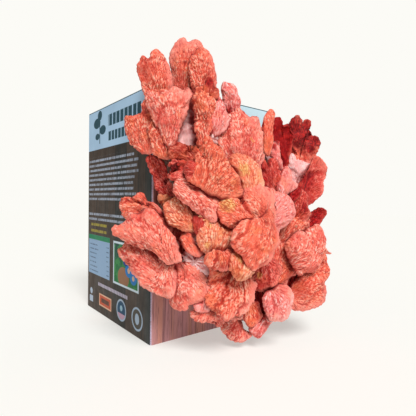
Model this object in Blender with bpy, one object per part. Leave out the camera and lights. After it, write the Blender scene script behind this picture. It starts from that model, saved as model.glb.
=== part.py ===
"""Pink oyster mushroom grow kit: a folded carton with a window in its front, the bag and the
grown block inside it, and the cluster that has come out through the window.

Metres, +Z up. The origin is the middle of the carton's underside, and the window faces -Y.
"""

import math

import bmesh
import bpy
import numpy as np
from mathutils import Vector
from mathutils.bvhtree import BVHTree

# Carton, bag and block
MM = 0.001
CARTON_SIDE = 128 * MM
CARTON_HEIGHT = 190 * MM
BOARD = 1.5 * MM
CARTON_CORNER = 2.5 * MM
WINDOW_EDGE = 5 * MM
WINDOW_BOTTOM = 50 * MM
WINDOW_TOP = 150 * MM
WINDOW_CORNER = 8 * MM
FLAP_SLIT = 0.8 * MM
BAG_SIDE = 122.4 * MM
BAG_FILM = 0.8 * MM
BAG_HEIGHT = 174 * MM
BLOCK_HEIGHT = 164 * MM
SIT_GAP = 0.4 * MM

# Gap between pieces that grow against each other, the least share of itself that a piece keeps
# when it is cut clear, and the ways of cutting: solver, fill of the cut faces, and weld
CUT_GAP = 0.35 * MM
LEAST_SHARE = 0.3
CUT_WAYS = (
    ("EXACT", "BEAUTY", 0.2 * MM),
    ("EXACT", "EAR_CLIP", 0.2 * MM),
    ("EXACT", "BEAUTY", 0.05 * MM),
    ("EXACT", "EAR_CLIP", 0.05 * MM),
    ("MANIFOLD", "BEAUTY", 0.2 * MM),
    ("MANIFOLD", "EAR_CLIP", 0.2 * MM),
)

# Mound of fused stem feet that fills the window
MOUND_CENTRE = Vector((-6 * MM, 99 * MM))
MOUND_HALF_WIDTH = 45 * MM
MOUND_HALF_HEIGHT = 44 * MM
MOUND_REACH = 30 * MM

# Caps
RIM = 2.6 * MM
HEART = 4.6 * MM
STEM = 3.6 * MM
NECK_DROP = 2 * MM
SHORT_STEM = 22 * MM

# Where the kit is looked at from when a cap's margin is given by picture points: the eye, the
# turn to the right of +Y, the tip downwards, the roll, and the focal length in picture points
EYE = Vector((-195.0, -294.4, 107.1)) * MM
EYE_TURN = math.radians(38.45)
EYE_TIP = math.radians(-1.28)
EYE_ROLL = math.radians(0.82)
EYE_FOCAL = 362.0
EYE_MIDDLE = 208.0

FORWARD = Vector((
    math.sin(EYE_TURN) * math.cos(EYE_TIP),
    math.cos(EYE_TURN) * math.cos(EYE_TIP),
    math.sin(EYE_TIP),
))
LEVEL = Vector((math.cos(EYE_TURN), -math.sin(EYE_TURN), 0))
RIGHT = LEVEL * math.cos(EYE_ROLL) + LEVEL.cross(FORWARD) * math.sin(EYE_ROLL)
UPWARD = RIGHT.cross(FORWARD)

CORAL = (0.86, 0.24, 0.17)
PALE_CORAL = (0.95, 0.42, 0.36)
DEEP_CORAL = (0.60, 0.06, 0.04)
OCHRE_CORAL = (0.85, 0.33, 0.14)
CREAM = (0.80, 0.62, 0.36)


def remove_everything():
    for item in list(bpy.data.objects):
        bpy.data.objects.remove(item, do_unlink=True)


def finish_of(name, colour, roughness):
    material = bpy.data.materials.new(name)
    material.use_nodes = True
    shader = material.node_tree.nodes["Principled BSDF"]
    shader.inputs["Base Color"].default_value = (*colour, 1)
    shader.inputs["Roughness"].default_value = roughness
    shader.inputs["Metallic"].default_value = 0
    return material


def add_object(name, points, faces, material, smooth=True):
    mesh = bpy.data.meshes.new(name)
    mesh.from_pydata([tuple(point) for point in points], [], faces)
    mesh.materials.append(material)
    if smooth:
        mesh.shade_smooth()
    thing = bpy.data.objects.new(name, mesh)
    bpy.context.collection.objects.link(thing)
    return thing


def add_box(name, low, high, material):
    """A box between two corners, as an object whose origin is the middle of the box."""
    low = Vector(low)
    high = Vector(high)
    form = bmesh.new()
    bmesh.ops.create_cube(form, size=1)
    bmesh.ops.scale(form, vec=high - low, verts=form.verts)
    mesh = bpy.data.meshes.new(name)
    form.to_mesh(mesh)
    form.free()
    mesh.materials.append(material)
    thing = bpy.data.objects.new(name, mesh)
    thing.location = (low + high) / 2
    bpy.context.collection.objects.link(thing)
    return thing


def round_edges(thing, axis, radius, segments):
    """Round the four edges of a box that run along one axis."""
    form = bmesh.new()
    form.from_mesh(thing.data)
    edges = []
    for edge in form.edges:
        run = edge.verts[0].co - edge.verts[1].co
        if abs(run[axis]) > 0.9 * run.length:
            edges.append(edge)
    bmesh.ops.bevel(form, geom=edges, offset=radius, segments=segments, affect="EDGES", profile=0.5)
    form.to_mesh(thing.data)
    form.free()


def make_cutter(thing):
    thing.hide_render = True
    thing.display_type = "WIRE"


def cut(thing, cutter):
    make_cutter(cutter)
    modifier = thing.modifiers.new("cut by " + cutter.name, "BOOLEAN")
    modifier.operation = "DIFFERENCE"
    modifier.solver = "EXACT"
    modifier.object = cutter


def build_carton():
    """Board shell: closed sides and base, two flaps that meet in the middle of the top, and a
    window with round corners in the front."""
    half = CARTON_SIDE / 2
    board = finish_of("carton_board", (0.32, 0.20, 0.14), 0.6)
    carton = add_box("carton", (-half, -half, 0), (half, half, CARTON_HEIGHT), board)
    round_edges(carton, 2, CARTON_CORNER, 3)
    inside = add_box(
        "carton_inside",
        (-half + BOARD, -half + BOARD, BOARD),
        (half - BOARD, half - BOARD, CARTON_HEIGHT - BOARD),
        board,
    )
    cut(carton, inside)
    window = add_box(
        "carton_window",
        (-half + WINDOW_EDGE, -half - BOARD, WINDOW_BOTTOM),
        (half - WINDOW_EDGE, -half + 2 * BOARD, WINDOW_TOP),
        board,
    )
    round_edges(window, 1, WINDOW_CORNER, 3)
    cut(carton, window)
    slit = add_box(
        "carton_slit",
        (-half + 2 * BOARD, -FLAP_SLIT / 2, CARTON_HEIGHT - 2 * BOARD),
        (half - 2 * BOARD, FLAP_SLIT / 2, CARTON_HEIGHT + BOARD),
        board,
    )
    cut(carton, slit)
    return carton


def build_bag_and_block():
    """Film bag that stands on the carton's base, slit open behind the window, and the grown
    block that fills it."""
    film = finish_of("bag_film", (0.72, 0.70, 0.66), 0.35)
    half = BAG_SIDE / 2
    foot = BOARD + SIT_GAP
    bag = add_box("grow_bag", (-half, -half, foot), (half, half, foot + BAG_HEIGHT), film)
    round_edges(bag, 2, 2 * MM, 2)
    hollow = half - BAG_FILM
    inside = add_box(
        "bag_inside",
        (-hollow, -hollow, foot + BAG_FILM),
        (hollow, hollow, foot + BAG_HEIGHT - BAG_FILM),
        film,
    )
    cut(bag, inside)
    opening = add_box(
        "bag_opening",
        (-half + 6 * MM, -half - BAG_FILM, WINDOW_BOTTOM + 2 * MM),
        (half - 6 * MM, -half + 2 * BAG_FILM, WINDOW_TOP - 2 * MM),
        film,
    )
    cut(bag, opening)
    grain = finish_of("grown_block", (0.70, 0.62, 0.52), 0.85)
    side = hollow - SIT_GAP
    low = foot + BAG_FILM + SIT_GAP
    block = add_box("substrate_block", (-side, -side, low), (side, side, low + BLOCK_HEIGHT), grain)
    round_edges(block, 2, 4 * MM, 2)
    return bag, block


def face_point(across, out, height):
    """A point by its place on the front: mm from the middle to the right, mm in front of the
    board, and mm above the floor."""
    return Vector((across, -CARTON_SIDE / (2 * MM) - out, height)) * MM


def loft(rings, low_pole, high_pole):
    """Points and faces of a closed form through rings of equal count, with a pole at each end."""
    count = len(rings[0])
    points = [low_pole]
    for ring in rings:
        points.extend(ring)
    points.append(high_pole)
    faces = []
    for k in range(count):
        following = (k + 1) % count
        faces.append((0, 1 + following, 1 + k))
        for level in range(len(rings) - 1):
            a = 1 + level * count
            b = a + count
            faces.append((a + k, a + following, b + following, b + k))
        top = 1 + (len(rings) - 1) * count
        faces.append((top + k, top + following, len(points) - 1))
    return points, faces


def build_mound():
    """Lumpy heap of feet grown together: round in front, flat at the back against the block."""
    flesh = finish_of("mound_flesh", (0.85, 0.50, 0.46), 0.7)
    count = 20
    back = -CARTON_SIDE / 2 + (CARTON_SIDE - BAG_SIDE) / 2 + BAG_FILM
    profile = ((0, 0.88), (4 * MM, 0.95), (12 * MM, 1.0), (22 * MM, 0.86), (30 * MM, 0.52))
    rings = []
    for reach, size in profile:
        ring = []
        for k in range(count):
            angle = 2 * math.pi * k / count
            lump = 1 + 0.05 * math.sin(5 * angle + 0.6) + 0.04 * math.sin(3 * angle + 2)
            x = MOUND_CENTRE.x + MOUND_HALF_WIDTH * size * lump * math.cos(angle)
            z = MOUND_CENTRE.y + MOUND_HALF_HEIGHT * size * lump * math.sin(angle)
            ring.append(Vector((x, back - reach, z)))
        rings.append(ring)
    low = Vector((MOUND_CENTRE.x, back, MOUND_CENTRE.y))
    high = Vector((MOUND_CENTRE.x, back - MOUND_REACH - 3 * MM, MOUND_CENTRE.y))
    points, faces = loft(rings, low, high)
    return add_object("cluster_base", points, faces, flesh)


def sight(px, py):
    """Step from the eye towards a picture point, one metre deep."""
    across = (px - EYE_MIDDLE) / EYE_FOCAL
    down = (py - EYE_MIDDLE) / EYE_FOCAL
    return FORWARD + RIGHT * across - UPWARD * down


def seen_at(px, py, depth):
    """The point seen at a picture point, at a depth in mm from the eye."""
    return EYE + sight(px, py) * depth * MM


class CapShape:
    """The sheet of one cap: a plane through its middle that leans by two slopes, the margin on
    that plane, and the crown that rises from it."""

    def __init__(self, margin, depth, slope, crown, gills):
        middle_px = np.mean(np.array(margin, float), axis=0)
        self.middle = seen_at(middle_px[0], middle_px[1], depth)
        facing = (RIGHT * slope[0] + UPWARD * slope[1] - FORWARD).normalized()
        self.away = facing
        self.up = -facing if gills else facing
        self.side = (RIGHT - facing * RIGHT.dot(facing)).normalized()
        self.other = self.up.cross(self.side)
        flat = [self.flat_of(self.on_plane(px, py)) for px, py in margin]
        if sum(a[0] * b[1] - a[1] * b[0] for a, b in zip(flat, flat[1:] + flat[:1])) < 0:
            flat.reverse()
        self.margin = flat
        self.crown = crown * MM
        self.angles = np.unwrap([math.atan2(v, u) for u, v in flat])
        self.reaches = np.array([math.hypot(u, v) for u, v in flat])

    def on_plane(self, px, py):
        step = sight(px, py)
        return EYE + step * ((self.middle - EYE).dot(self.away) / step.dot(self.away))

    def flat_of(self, point):
        offset = point - self.middle
        return (offset.dot(self.side), offset.dot(self.other))

    def height(self, u, v):
        """How far the crown stands over the plane, at a place in it."""
        turn = self.angles[0] + (math.atan2(v, u) - self.angles[0]) % (2 * math.pi)
        angles = np.append(self.angles, self.angles[0] + 2 * math.pi)
        reaches = np.append(self.reaches, self.reaches[0])
        part = min(1.0, math.hypot(u, v) / np.interp(turn, angles, reaches))
        return self.crown * (1 - part ** 2)

    def place(self, u, v, lift):
        return self.middle + self.side * u + self.other * v + self.up * lift


def stem_rings(shape, neck, lean, foot, width, angles):
    """Rings from the foot of a stem up to the underside of its cap. The stem leaves the cap
    along lean, and turns towards its foot."""
    length = (foot - neck).length
    bend = neck + lean * length * 0.4
    turn = min(1.0, length / SHORT_STEM)
    rings = []
    for part in (1.0, 0.5, 0.0):
        point = foot * part ** 2 + bend * 2 * part * (1 - part) + neck * (1 - part) ** 2
        run = ((bend - foot) * part + (neck - bend) * (1 - part)).normalized()
        if part == 0:
            run = shape.up
        rise = shape.up.lerp(run, turn).normalized()
        across = (shape.side - rise * shape.side.dot(rise)).normalized()
        other = rise.cross(across)
        size = width * (0.85 + 0.2 * (1 - part) ** 2)
        rings.append([
            point + across * size * math.cos(angle) + other * size * math.sin(angle)
            for angle in angles
        ])
    return rings


def mushroom(name, finish, root, depth, slope, crown, hub, margin, gills=False, stem=1.0, reach=0.8):
    """One mushroom, cap and stem together, as a closed loft from the foot to the crown.

    depth is how far the cap's middle lies from the eye in mm, slope how much deeper its sheet
    gets to the right and upwards, and crown how far it rises in mm. hub and margin are picture
    points: where the stem meets the cap, and the cap's edge. gills is set on a cap that turns
    its underside to the eye. stem scales the stem's width, and reach says how far the stem
    runs from the hub to its root."""
    shape = CapShape(margin, depth, slope, crown, gills)
    hub_u, hub_v = shape.flat_of(shape.on_plane(*hub))
    gaps = [math.hypot(u - hub_u, v - hub_v) for u, v in shape.margin]
    width = STEM * stem
    neck = shape.place(hub_u, hub_v, shape.height(hub_u, hub_v) - HEART - NECK_DROP)
    outwards = (shape.side * hub_u + shape.other * hub_v) / float(np.mean(shape.reaches))
    lean = (outwards * (3 if gills else 0.4) - shape.up).normalized()
    foot = neck.lerp(ROOTS[root], reach)
    turns = np.unwrap([math.atan2(v - hub_v, u - hub_u) for u, v in shape.margin])
    even = turns[0] + 2 * math.pi * np.arange(len(turns)) / len(turns)
    angles = 0.4 * turns + 0.6 * even
    rings = stem_rings(shape, neck, lean, foot, min(width, 0.95 * min(gaps)), angles)
    under = []
    lip = []
    edge = []
    top = []
    for (u, v), gap in zip(shape.margin, gaps):
        start = min(width * 1.3, 0.6 * gap) / gap
        part = start + 0.5 * (1 - start)
        at_u = hub_u + part * (u - hub_u)
        at_v = hub_v + part * (v - hub_v)
        under.append(shape.place(at_u, at_v, shape.height(at_u, at_v) - (RIM + HEART) / 2))
        lip.append(shape.place(u * 0.95, v * 0.95, shape.height(u * 0.95, v * 0.95) - RIM))
        edge.append(shape.place(u, v, 0))
        top.append(shape.place(u * 0.6, v * 0.6, shape.height(u * 0.6, v * 0.6)))
    rings.extend([under, lip, edge, top])
    points, faces = loft(rings, foot, shape.place(0, 0, shape.crown))
    cap = add_object("mushroom_" + name, points, faces, FINISHES[finish])
    face_outwards(cap)
    place_clear(cap)


def face_outwards(thing):
    form = bmesh.new()
    form.from_mesh(thing.data)
    bmesh.ops.recalc_face_normals(form, faces=form.faces)
    bmesh.ops.triangulate(form, faces=form.faces)
    form.to_mesh(thing.data)
    form.free()


def tree_of(thing):
    form = bmesh.new()
    form.from_object(thing, bpy.context.evaluated_depsgraph_get())
    form.transform(thing.matrix_world)
    tree = BVHTree.FromBMesh(form)
    form.free()
    return tree


def box_of(thing):
    corners = np.array([thing.matrix_world @ Vector(corner) for corner in thing.bound_box])
    return corners.min(axis=0), corners.max(axis=0)


def boxes_meet(one, other):
    low, high = box_of(one)
    other_low, other_high = box_of(other)
    return bool(np.all(low < other_high + CUT_GAP) and np.all(other_low < high + CUT_GAP))


def keep_room(thing, whole):
    """Note a piece as standing, with a hidden copy that is proud of it all over by the gap that
    is left between touching pieces."""
    bpy.context.view_layer.update()
    form = bmesh.new()
    form.from_mesh(whole)
    form.transform(thing.matrix_world)
    bmesh.ops.triangulate(form, faces=form.faces)
    form.normal_update()
    shifts = [vertex.normal * CUT_GAP * min(vertex.calc_shell_factor(), 1.5) for vertex in form.verts]
    for vertex, shift in zip(form.verts, shifts):
        vertex.co += shift
    mesh = bpy.data.meshes.new("room of " + thing.name)
    form.to_mesh(mesh)
    form.free()
    room = bpy.data.objects.new("room of " + thing.name, mesh)
    bpy.context.collection.objects.link(room)
    make_cutter(room)
    ROOMS.append((thing, room))


def keep_largest(form):
    """Leave only the largest of the separate bodies in a mesh."""
    left = set(form.faces)
    groups = []
    while left:
        group = [left.pop()]
        for face in group:
            for edge in face.edges:
                for near in edge.link_faces:
                    if near in left:
                        left.remove(near)
                        group.append(near)
        groups.append(group)
    groups.sort(key=lambda group: sum(face.calc_area() for face in group), reverse=True)
    spare = [face for group in groups[1:] for face in group]
    bmesh.ops.delete(form, geom=spare, context="FACES")


def cut_form(thing, solver, fill, weld):
    """The mesh that is left of a piece when the pieces round it are cut out of it."""
    modifier = thing.modifiers.new("press", "BOOLEAN")
    modifier.operation = "DIFFERENCE"
    modifier.operand_type = "COLLECTION"
    modifier.collection = AROUND
    modifier.solver = solver
    bpy.context.view_layer.update()
    form = bmesh.new()
    form.from_object(thing, bpy.context.evaluated_depsgraph_get())
    thing.modifiers.clear()
    bmesh.ops.triangulate(form, faces=form.faces, ngon_method=fill)
    keep_largest(form)
    bmesh.ops.remove_doubles(form, verts=form.verts, dist=weld)
    bmesh.ops.dissolve_degenerate(form, dist=0.01 * MM, edges=form.edges)
    keep_largest(form)
    return form


def is_sound(form, thing, neighbours):
    """Whether a cut form is closed, keeps a fair share of its piece and clears its neighbours."""
    if not form.faces or any(len(edge.link_faces) != 2 for edge in form.edges):
        return False
    whole = bmesh.new()
    whole.from_mesh(thing.data)
    fair = form.calc_volume() > LEAST_SHARE * whole.calc_volume()
    whole.free()
    tree = BVHTree.FromBMesh(form)
    return fair and not any(tree.overlap(tree_of(other)) for other in neighbours)


def press_clear(thing):
    """Cut a new piece clear of the pieces that already stand where it would grow, with the first
    way of cutting that leaves a sound form."""
    bpy.context.view_layer.update()
    tree = tree_of(thing)
    neighbours = []
    for other, room in ROOMS:
        if boxes_meet(thing, room) and tree.overlap(tree_of(room)):
            neighbours.append(other)
            AROUND.objects.link(room)
    for solver, fill, weld in CUT_WAYS if neighbours else ():
        form = cut_form(thing, solver, fill, weld)
        sound = is_sound(form, thing, neighbours)
        if sound:
            form.to_mesh(thing.data)
        form.free()
        if sound:
            break
    for room in list(AROUND.objects):
        AROUND.objects.unlink(room)


def place_clear(thing):
    whole = thing.data.copy()
    press_clear(thing)
    keep_room(thing, whole)


def stem_bundle(name, points, widths):
    """Stems grown together into one lobed trunk along a few points."""
    count = 9
    rings = []
    for k, point in enumerate(points):
        before = points[max(k - 1, 0)]
        after = points[min(k + 1, len(points) - 1)]
        rise = (after - before).normalized()
        across = (RIGHT - rise * RIGHT.dot(rise)).normalized()
        other = rise.cross(across)
        ring = []
        for step in range(count):
            angle = 2 * math.pi * step / count
            size = widths[k] * MM * (1 + 0.12 * math.cos(3 * angle + k))
            ring.append(point + across * size * math.cos(angle) + other * size * math.sin(angle))
        rings.append(ring)
    tip = points[-1] + (points[-1] - points[-2]).normalized() * widths[-1] * 0.6 * MM
    spots, faces = loft(rings, points[0], tip)
    trunk = add_object(name, spots, faces, FINISHES["pale"])
    face_outwards(trunk)
    place_clear(trunk)


remove_everything()
FINISHES = {
    "coral": finish_of("cap_coral", CORAL, 0.75),
    "pale": finish_of("cap_pale", PALE_CORAL, 0.7),
    "deep": finish_of("cap_deep", DEEP_CORAL, 0.8),
    "ochre": finish_of("cap_ochre", OCHRE_CORAL, 0.75),
    "cream": finish_of("cap_cream", CREAM, 0.6),
}
ROOTS = {
    "crown": face_point(-40, 11, 156),
    "middle": face_point(-20, 18, 105),
    "upper": face_point(-8, 14, 132),
    "left": face_point(-44, 12, 84),
    "low": face_point(-18, 20, 66),
    "right": face_point(34, 24, 112),
    "right_low": face_point(24, 22, 76),
}
AROUND = bpy.data.collections.new("room of the pieces around the new one")
ROOMS = []
carton = build_carton()
build_bag_and_block()
keep_room(carton, carton.data)
mound = build_mound()
face_outwards(mound)
keep_room(mound, mound.data)

stem_bundle(
    "stems_crown",
    [face_point(-28, 14, 118), face_point(-36, 12, 136), face_point(-40, 11, 152), face_point(-41, 11, 166)],
    (9, 8.5, 8, 6),
)
stem_bundle(
    "stems_right",
    [face_point(18, 14, 100), face_point(34, 22, 106), face_point(48, 32, 116)],
    (11, 10, 7),
)
stem_bundle(
    "stems_low",
    [face_point(-14, 16, 74), face_point(-14, 24, 60), face_point(-8, 30, 46)],
    (11, 10, 7),
)

# Centre: the big cap and what leans out from under it
mushroom(
    "centre_big", "coral", "middle", 236, (0.25, 0.3), 6, (202, 158),
    [(207, 137), (213, 138), (222, 146), (227, 157), (233, 168), (242, 180), (244, 190),
     (239, 199), (226, 199), (213, 197), (202, 189), (190, 184), (184, 174), (187, 162), (198, 151)],
)
mushroom(
    "centre_round", "coral", "right_low", 232, (0.4, 0.25), 7, (262, 230),
    [(231, 238), (234, 229), (242, 223), (254, 220), (263, 217), (266, 210), (273, 212),
     (276, 226), (278, 240), (275, 255), (269, 266), (260, 269), (249, 263), (237, 251)],
)
mushroom(
    "centre_right", "pale", "right_low", 240, (0.4, 0.2), 5, (228, 214),
    [(217, 211), (220, 203), (230, 192), (241, 188), (256, 188), (268, 196), (270, 208),
     (266, 224), (252, 227), (238, 228), (224, 226)],
)
mushroom(
    "centre_slanting", "coral", "middle", 240, (0.2, 0.3), 4, (184, 188),
    [(175, 190), (177, 181), (186, 176), (204, 182), (216, 192), (221, 206), (217, 221),
     (205, 218), (191, 208), (179, 199)],
)
mushroom(
    "centre_orange", "ochre", "middle", 245, (0.1, 0.2), 4, (184, 220),
    [(163, 205), (171, 200), (180, 201), (188, 208), (195, 218), (195, 229), (184, 231),
     (173, 226), (166, 217)],
)
mushroom(
    "centre_yellow", "ochre", "middle", 240, (0.3, 0.2), 4, (216, 228),
    [(201, 226), (208, 220), (224, 220), (236, 232), (240, 245), (236, 255), (219, 255),
     (206, 250), (200, 238)],
)
mushroom(
    "centre_fold", "deep", "middle", 236, (0.1, 0.1), 3, (200, 232),
    [(192, 217), (199, 215), (204, 223), (207, 238), (203, 245), (197, 236)],
    stem=0.6,
)
mushroom(
    "centre_small", "coral", "low", 243, (0.1, 0.3), 3, (188, 243),
    [(180, 240), (185, 233), (193, 241), (201, 252), (198, 258), (188, 254)],
    stem=0.7,
)
mushroom(
    "centre_low", "coral", "low", 230, (0.3, 0.3), 4, (220, 256),
    [(205, 258), (209, 251), (220, 250), (232, 251), (235, 258), (229, 269), (217, 269), (208, 265)],
)
mushroom(
    "centre_gold", "cream", "low", 246, (0.2, 0.3), 3, (240, 265),
    [(231, 252), (242, 249), (250, 260), (250, 276), (240, 283), (230, 272)],
    stem=0.7,
)
mushroom(
    "left_lobe_upper", "deep", "middle", 243, (0.1, 0.2), 3, (186, 152),
    [(168, 152), (171, 144), (179, 142), (190, 145), (202, 149), (204, 160), (190, 166),
     (173, 162)],
)
mushroom(
    "left_lobe_pair", "ochre", "middle", 244, (0.1, 0.2), 3, (180, 165),
    [(169, 165), (175, 161), (188, 160), (198, 168), (196, 181), (182, 184), (168, 176),
     (173, 170)],
    stem=0.7,
)

# Left flank
mushroom(
    "left_fan", "coral", "left", 236, (-0.05, 0.15), 7, (172, 256),
    [(111, 230), (118, 224), (126, 220), (130, 212), (138, 213), (147, 207), (156, 211),
     (166, 224), (176, 234), (180, 250), (183, 261), (176, 265), (160, 263), (146, 253),
     (132, 246), (117, 237)],
    stem=1.3,
)
mushroom(
    "left_lower", "coral", "left", 243, (0.0, 0.25), 6, (158, 270),
    [(120, 254), (123, 244), (134, 245), (148, 250), (164, 262), (170, 272), (169, 286),
     (168, 298), (152, 292), (142, 286), (132, 271)],
    stem=1.2,
)
mushroom(
    "left_hanging", "coral", "low", 241, (-0.35, 0.2), 6, (190, 268),
    [(169, 264), (182, 258), (193, 256), (204, 266), (209, 279), (209, 297), (198, 304),
     (184, 310), (171, 308), (166, 296), (166, 281)],
    stem=1.2,
)
mushroom(
    "left_ruffled", "coral", "left", 247, (0.0, 0.15), 4, (150, 208),
    [(119, 208), (121, 199), (131, 197), (141, 192), (148, 200), (159, 206), (167, 219),
     (164, 226), (148, 214), (136, 214), (126, 216)],
)
mushroom(
    "left_button", "cream", "left", 254, (0.0, 0.1), 3, (165, 200),
    [(158, 197), (164, 193), (171, 196), (171, 202), (164, 205), (158, 202)],
    stem=0.7,
)
mushroom(
    "left_dark", "deep", "left", 260, (0.1, 0.0), -2, (165, 186),
    [(147, 157), (158, 157), (165, 165), (168, 177), (175, 191), (172, 199), (159, 194), (153, 178)],
    stem=0.7,
)

# Crown
mushroom(
    "crown_front", "coral", "crown", 245, (0.1, 0.1), 6, (172, 119),
    [(145, 91), (152, 89), (160, 88), (168, 90), (176, 88), (185, 87), (192, 90), (191, 100),
     (187, 117), (182, 129), (179, 150), (167, 152), (158, 131), (150, 112), (145, 101)],
    stem=1.3,
)
mushroom(
    "crown_curl", "coral", "crown", 248, (0.2, 0.15), 5, (207, 134),
    [(192, 86), (202, 84), (206, 78), (213, 85), (220, 93), (226, 108), (229, 122), (224, 142),
     (208, 152), (200, 140), (198, 118), (193, 100)],
)
mushroom(
    "crown_inner", "deep", "crown", 256, (0.1, 0.1), -2, (192, 126),
    [(186, 98), (196, 98), (203, 122), (206, 146), (190, 152), (176, 149), (179, 130)],
    stem=0.7,
)
mushroom(
    "crown_left", "coral", "crown", 255, (0.0, 0.12), 5, (157, 96),
    [(146, 94), (141, 79), (137, 67), (140, 58), (145, 56), (150, 60), (152, 53), (157, 50),
     (164, 55), (168, 64), (172, 74), (170, 90), (158, 100)],
)
mushroom(
    "crown_right", "pale", "crown", 260, (0.3, 0.15), 5, (204, 84),
    [(196, 84), (189, 71), (189, 57), (196, 48), (206, 50), (212, 58), (216, 73), (214, 86), (205, 90)],
)
mushroom(
    "crown_tall", "coral", "crown", 268, (0.15, 0.12), 5, (184, 95),
    [(172, 86), (169, 62), (172, 48), (179, 39), (184, 37), (187, 42), (191, 39), (200, 42),
     (205, 50), (203, 66), (197, 82), (190, 98), (178, 99)],
)
mushroom(
    "crown_narrow", "pale", "crown", 249, (0.1, 0.1), 3, (165, 151),
    [(150, 130), (155, 122), (159, 131), (166, 144), (171, 152), (166, 157), (155, 151)],
    stem=0.8,
)
mushroom(
    "crown_wing", "coral", "crown", 255, (-0.3, 0.1), 4, (148, 138),
    [(126, 117), (134, 115), (142, 112), (145, 99), (153, 104), (157, 120), (152, 134),
     (155, 150), (144, 153), (135, 146), (129, 132)],
    stem=0.8,
)
mushroom(
    "crown_folded", "pale", "upper", 268, (0.4, 0.1), 4, (232, 111),
    [(221, 86), (225, 81), (234, 84), (238, 93), (240, 105), (236, 115), (228, 114), (223, 100)],
)

# Right of the middle
mushroom(
    "upper_broad", "coral", "upper", 262, (0.45, 0.2), 5, (246, 150),
    [(228, 114), (234, 111), (240, 107), (248, 117), (255, 115), (261, 124), (263, 138),
     (262, 160), (247, 166), (232, 160), (220, 142), (224, 124)],
)
mushroom(
    "upper_ochre", "ochre", "right", 250, (0.4, 0.25), 5, (250, 180),
    [(229, 163), (237, 156), (248, 154), (259, 160), (264, 173), (264, 190), (247, 195),
     (236, 180)],
)
mushroom(
    "right_pink", "pale", "right", 258, (0.5, 0.2), 5, (278, 196),
    [(256, 188), (266, 182), (282, 184), (292, 198), (292, 214), (284, 226), (270, 220),
     (262, 204)],
)
mushroom(
    "right_long", "coral", "right", 276, (0.5, 0.1), 4, (284, 236),
    [(274, 229), (284, 215), (295, 204), (304, 201), (309, 208), (309, 224), (302, 240),
     (288, 248), (277, 248)],
)
mushroom(
    "right_double", "coral", "right_low", 268, (0.5, 0.1), 6, (298, 262),
    [(288, 240), (292, 232), (302, 231), (308, 235), (313, 227), (319, 224), (324, 234),
     (325, 247), (318, 261), (302, 277), (294, 262)],
)
mushroom(
    "right_corner", "coral", "right_low", 280, (0.5, 0.2), 6, (300, 282),
    [(290, 304), (292, 286), (301, 268), (316, 262), (326, 257), (328, 270), (324, 283),
     (328, 291), (321, 303), (305, 309), (293, 309)],
)
mushroom(
    "right_dark_leaf", "deep", "right", 286, (0.3, 0.1), -1.5, (312, 220),
    [(304, 228), (309, 215), (319, 207), (327, 209), (321, 221), (309, 231)],
    stem=0.6,
)
mushroom(
    "right_narrow", "coral", "right_low", 266, (0.4, 0.1), 3, (280, 276),
    [(267, 268), (275, 254), (287, 244), (291, 257), (289, 274), (278, 290), (268, 284)],
    stem=0.8,
)
mushroom(
    "right_shade", "deep", "right_low", 280, (0.3, 0.1), -1, (294, 277),
    [(289, 262), (301, 268), (304, 282), (296, 296), (285, 290)],
    stem=0.6,
)

# Right end, seen from the gills
mushroom(
    "end_gilled", "deep", "right", 300, (0.1, 0.1), 7, (299, 155),
    [(283, 127), (289, 120), (296, 117), (302, 120), (308, 120), (311, 133), (318, 138),
     (318, 152), (312, 166), (299, 172), (287, 163), (288, 145)],
    gills=True, stem=1.3,
)
mushroom(
    "end_foot", "pale", "right", 304, (0.1, 0.1), 3, (296, 184),
    [(284, 164), (291, 158), (303, 163), (312, 168), (310, 184), (300, 198), (288, 200), (285, 182)],
    stem=1.4,
)
mushroom(
    "end_cupped", "deep", "right", 290, (0.5, 0.1), -4, (312, 184),
    [(312, 162), (318, 157), (327, 167), (324, 184), (319, 198), (308, 204), (300, 195), (308, 179)],
)
mushroom(
    "end_small", "deep", "right", 292, (0.2, 0.1), -2, (284, 150),
    [(273, 128), (274, 118), (281, 120), (291, 130), (292, 146), (288, 160), (279, 170),
     (276, 150), (271, 140)],
)
mushroom(
    "end_upright", "pale", "upper", 276, (0.3, 0.1), 3, (267, 140),
    [(262, 130), (265, 118), (271, 110), (273, 120), (272, 140), (268, 154), (263, 146)],
    stem=0.8,
)
mushroom(
    "end_leaf_pair", "coral", "right", 271, (0.4, 0.1), 3, (275, 186),
    [(259, 176), (261, 160), (266, 167), (271, 155), (277, 166), (281, 178), (279, 190),
     (268, 190), (261, 186)],
    stem=0.7,
)
mushroom(
    "end_leaf_right", "pale", "right", 274, (0.4, 0.1), 3, (284, 194),
    [(277, 178), (284, 166), (292, 170), (294, 188), (290, 203), (278, 196)],
    stem=0.8,
)
mushroom(
    "end_leaf_back", "pale", "right", 282, (0.3, 0.1), 3, (277, 160),
    [(270, 153), (275, 144), (280, 143), (281, 158), (280, 173), (274, 164)],
    stem=0.7,
)
mushroom(
    "end_fold", "deep", "right", 278, (0.4, 0.1), -1, (294, 194),
    [(287, 197), (294, 189), (302, 184), (302, 194), (294, 204)],
    stem=0.6,
)

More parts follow.
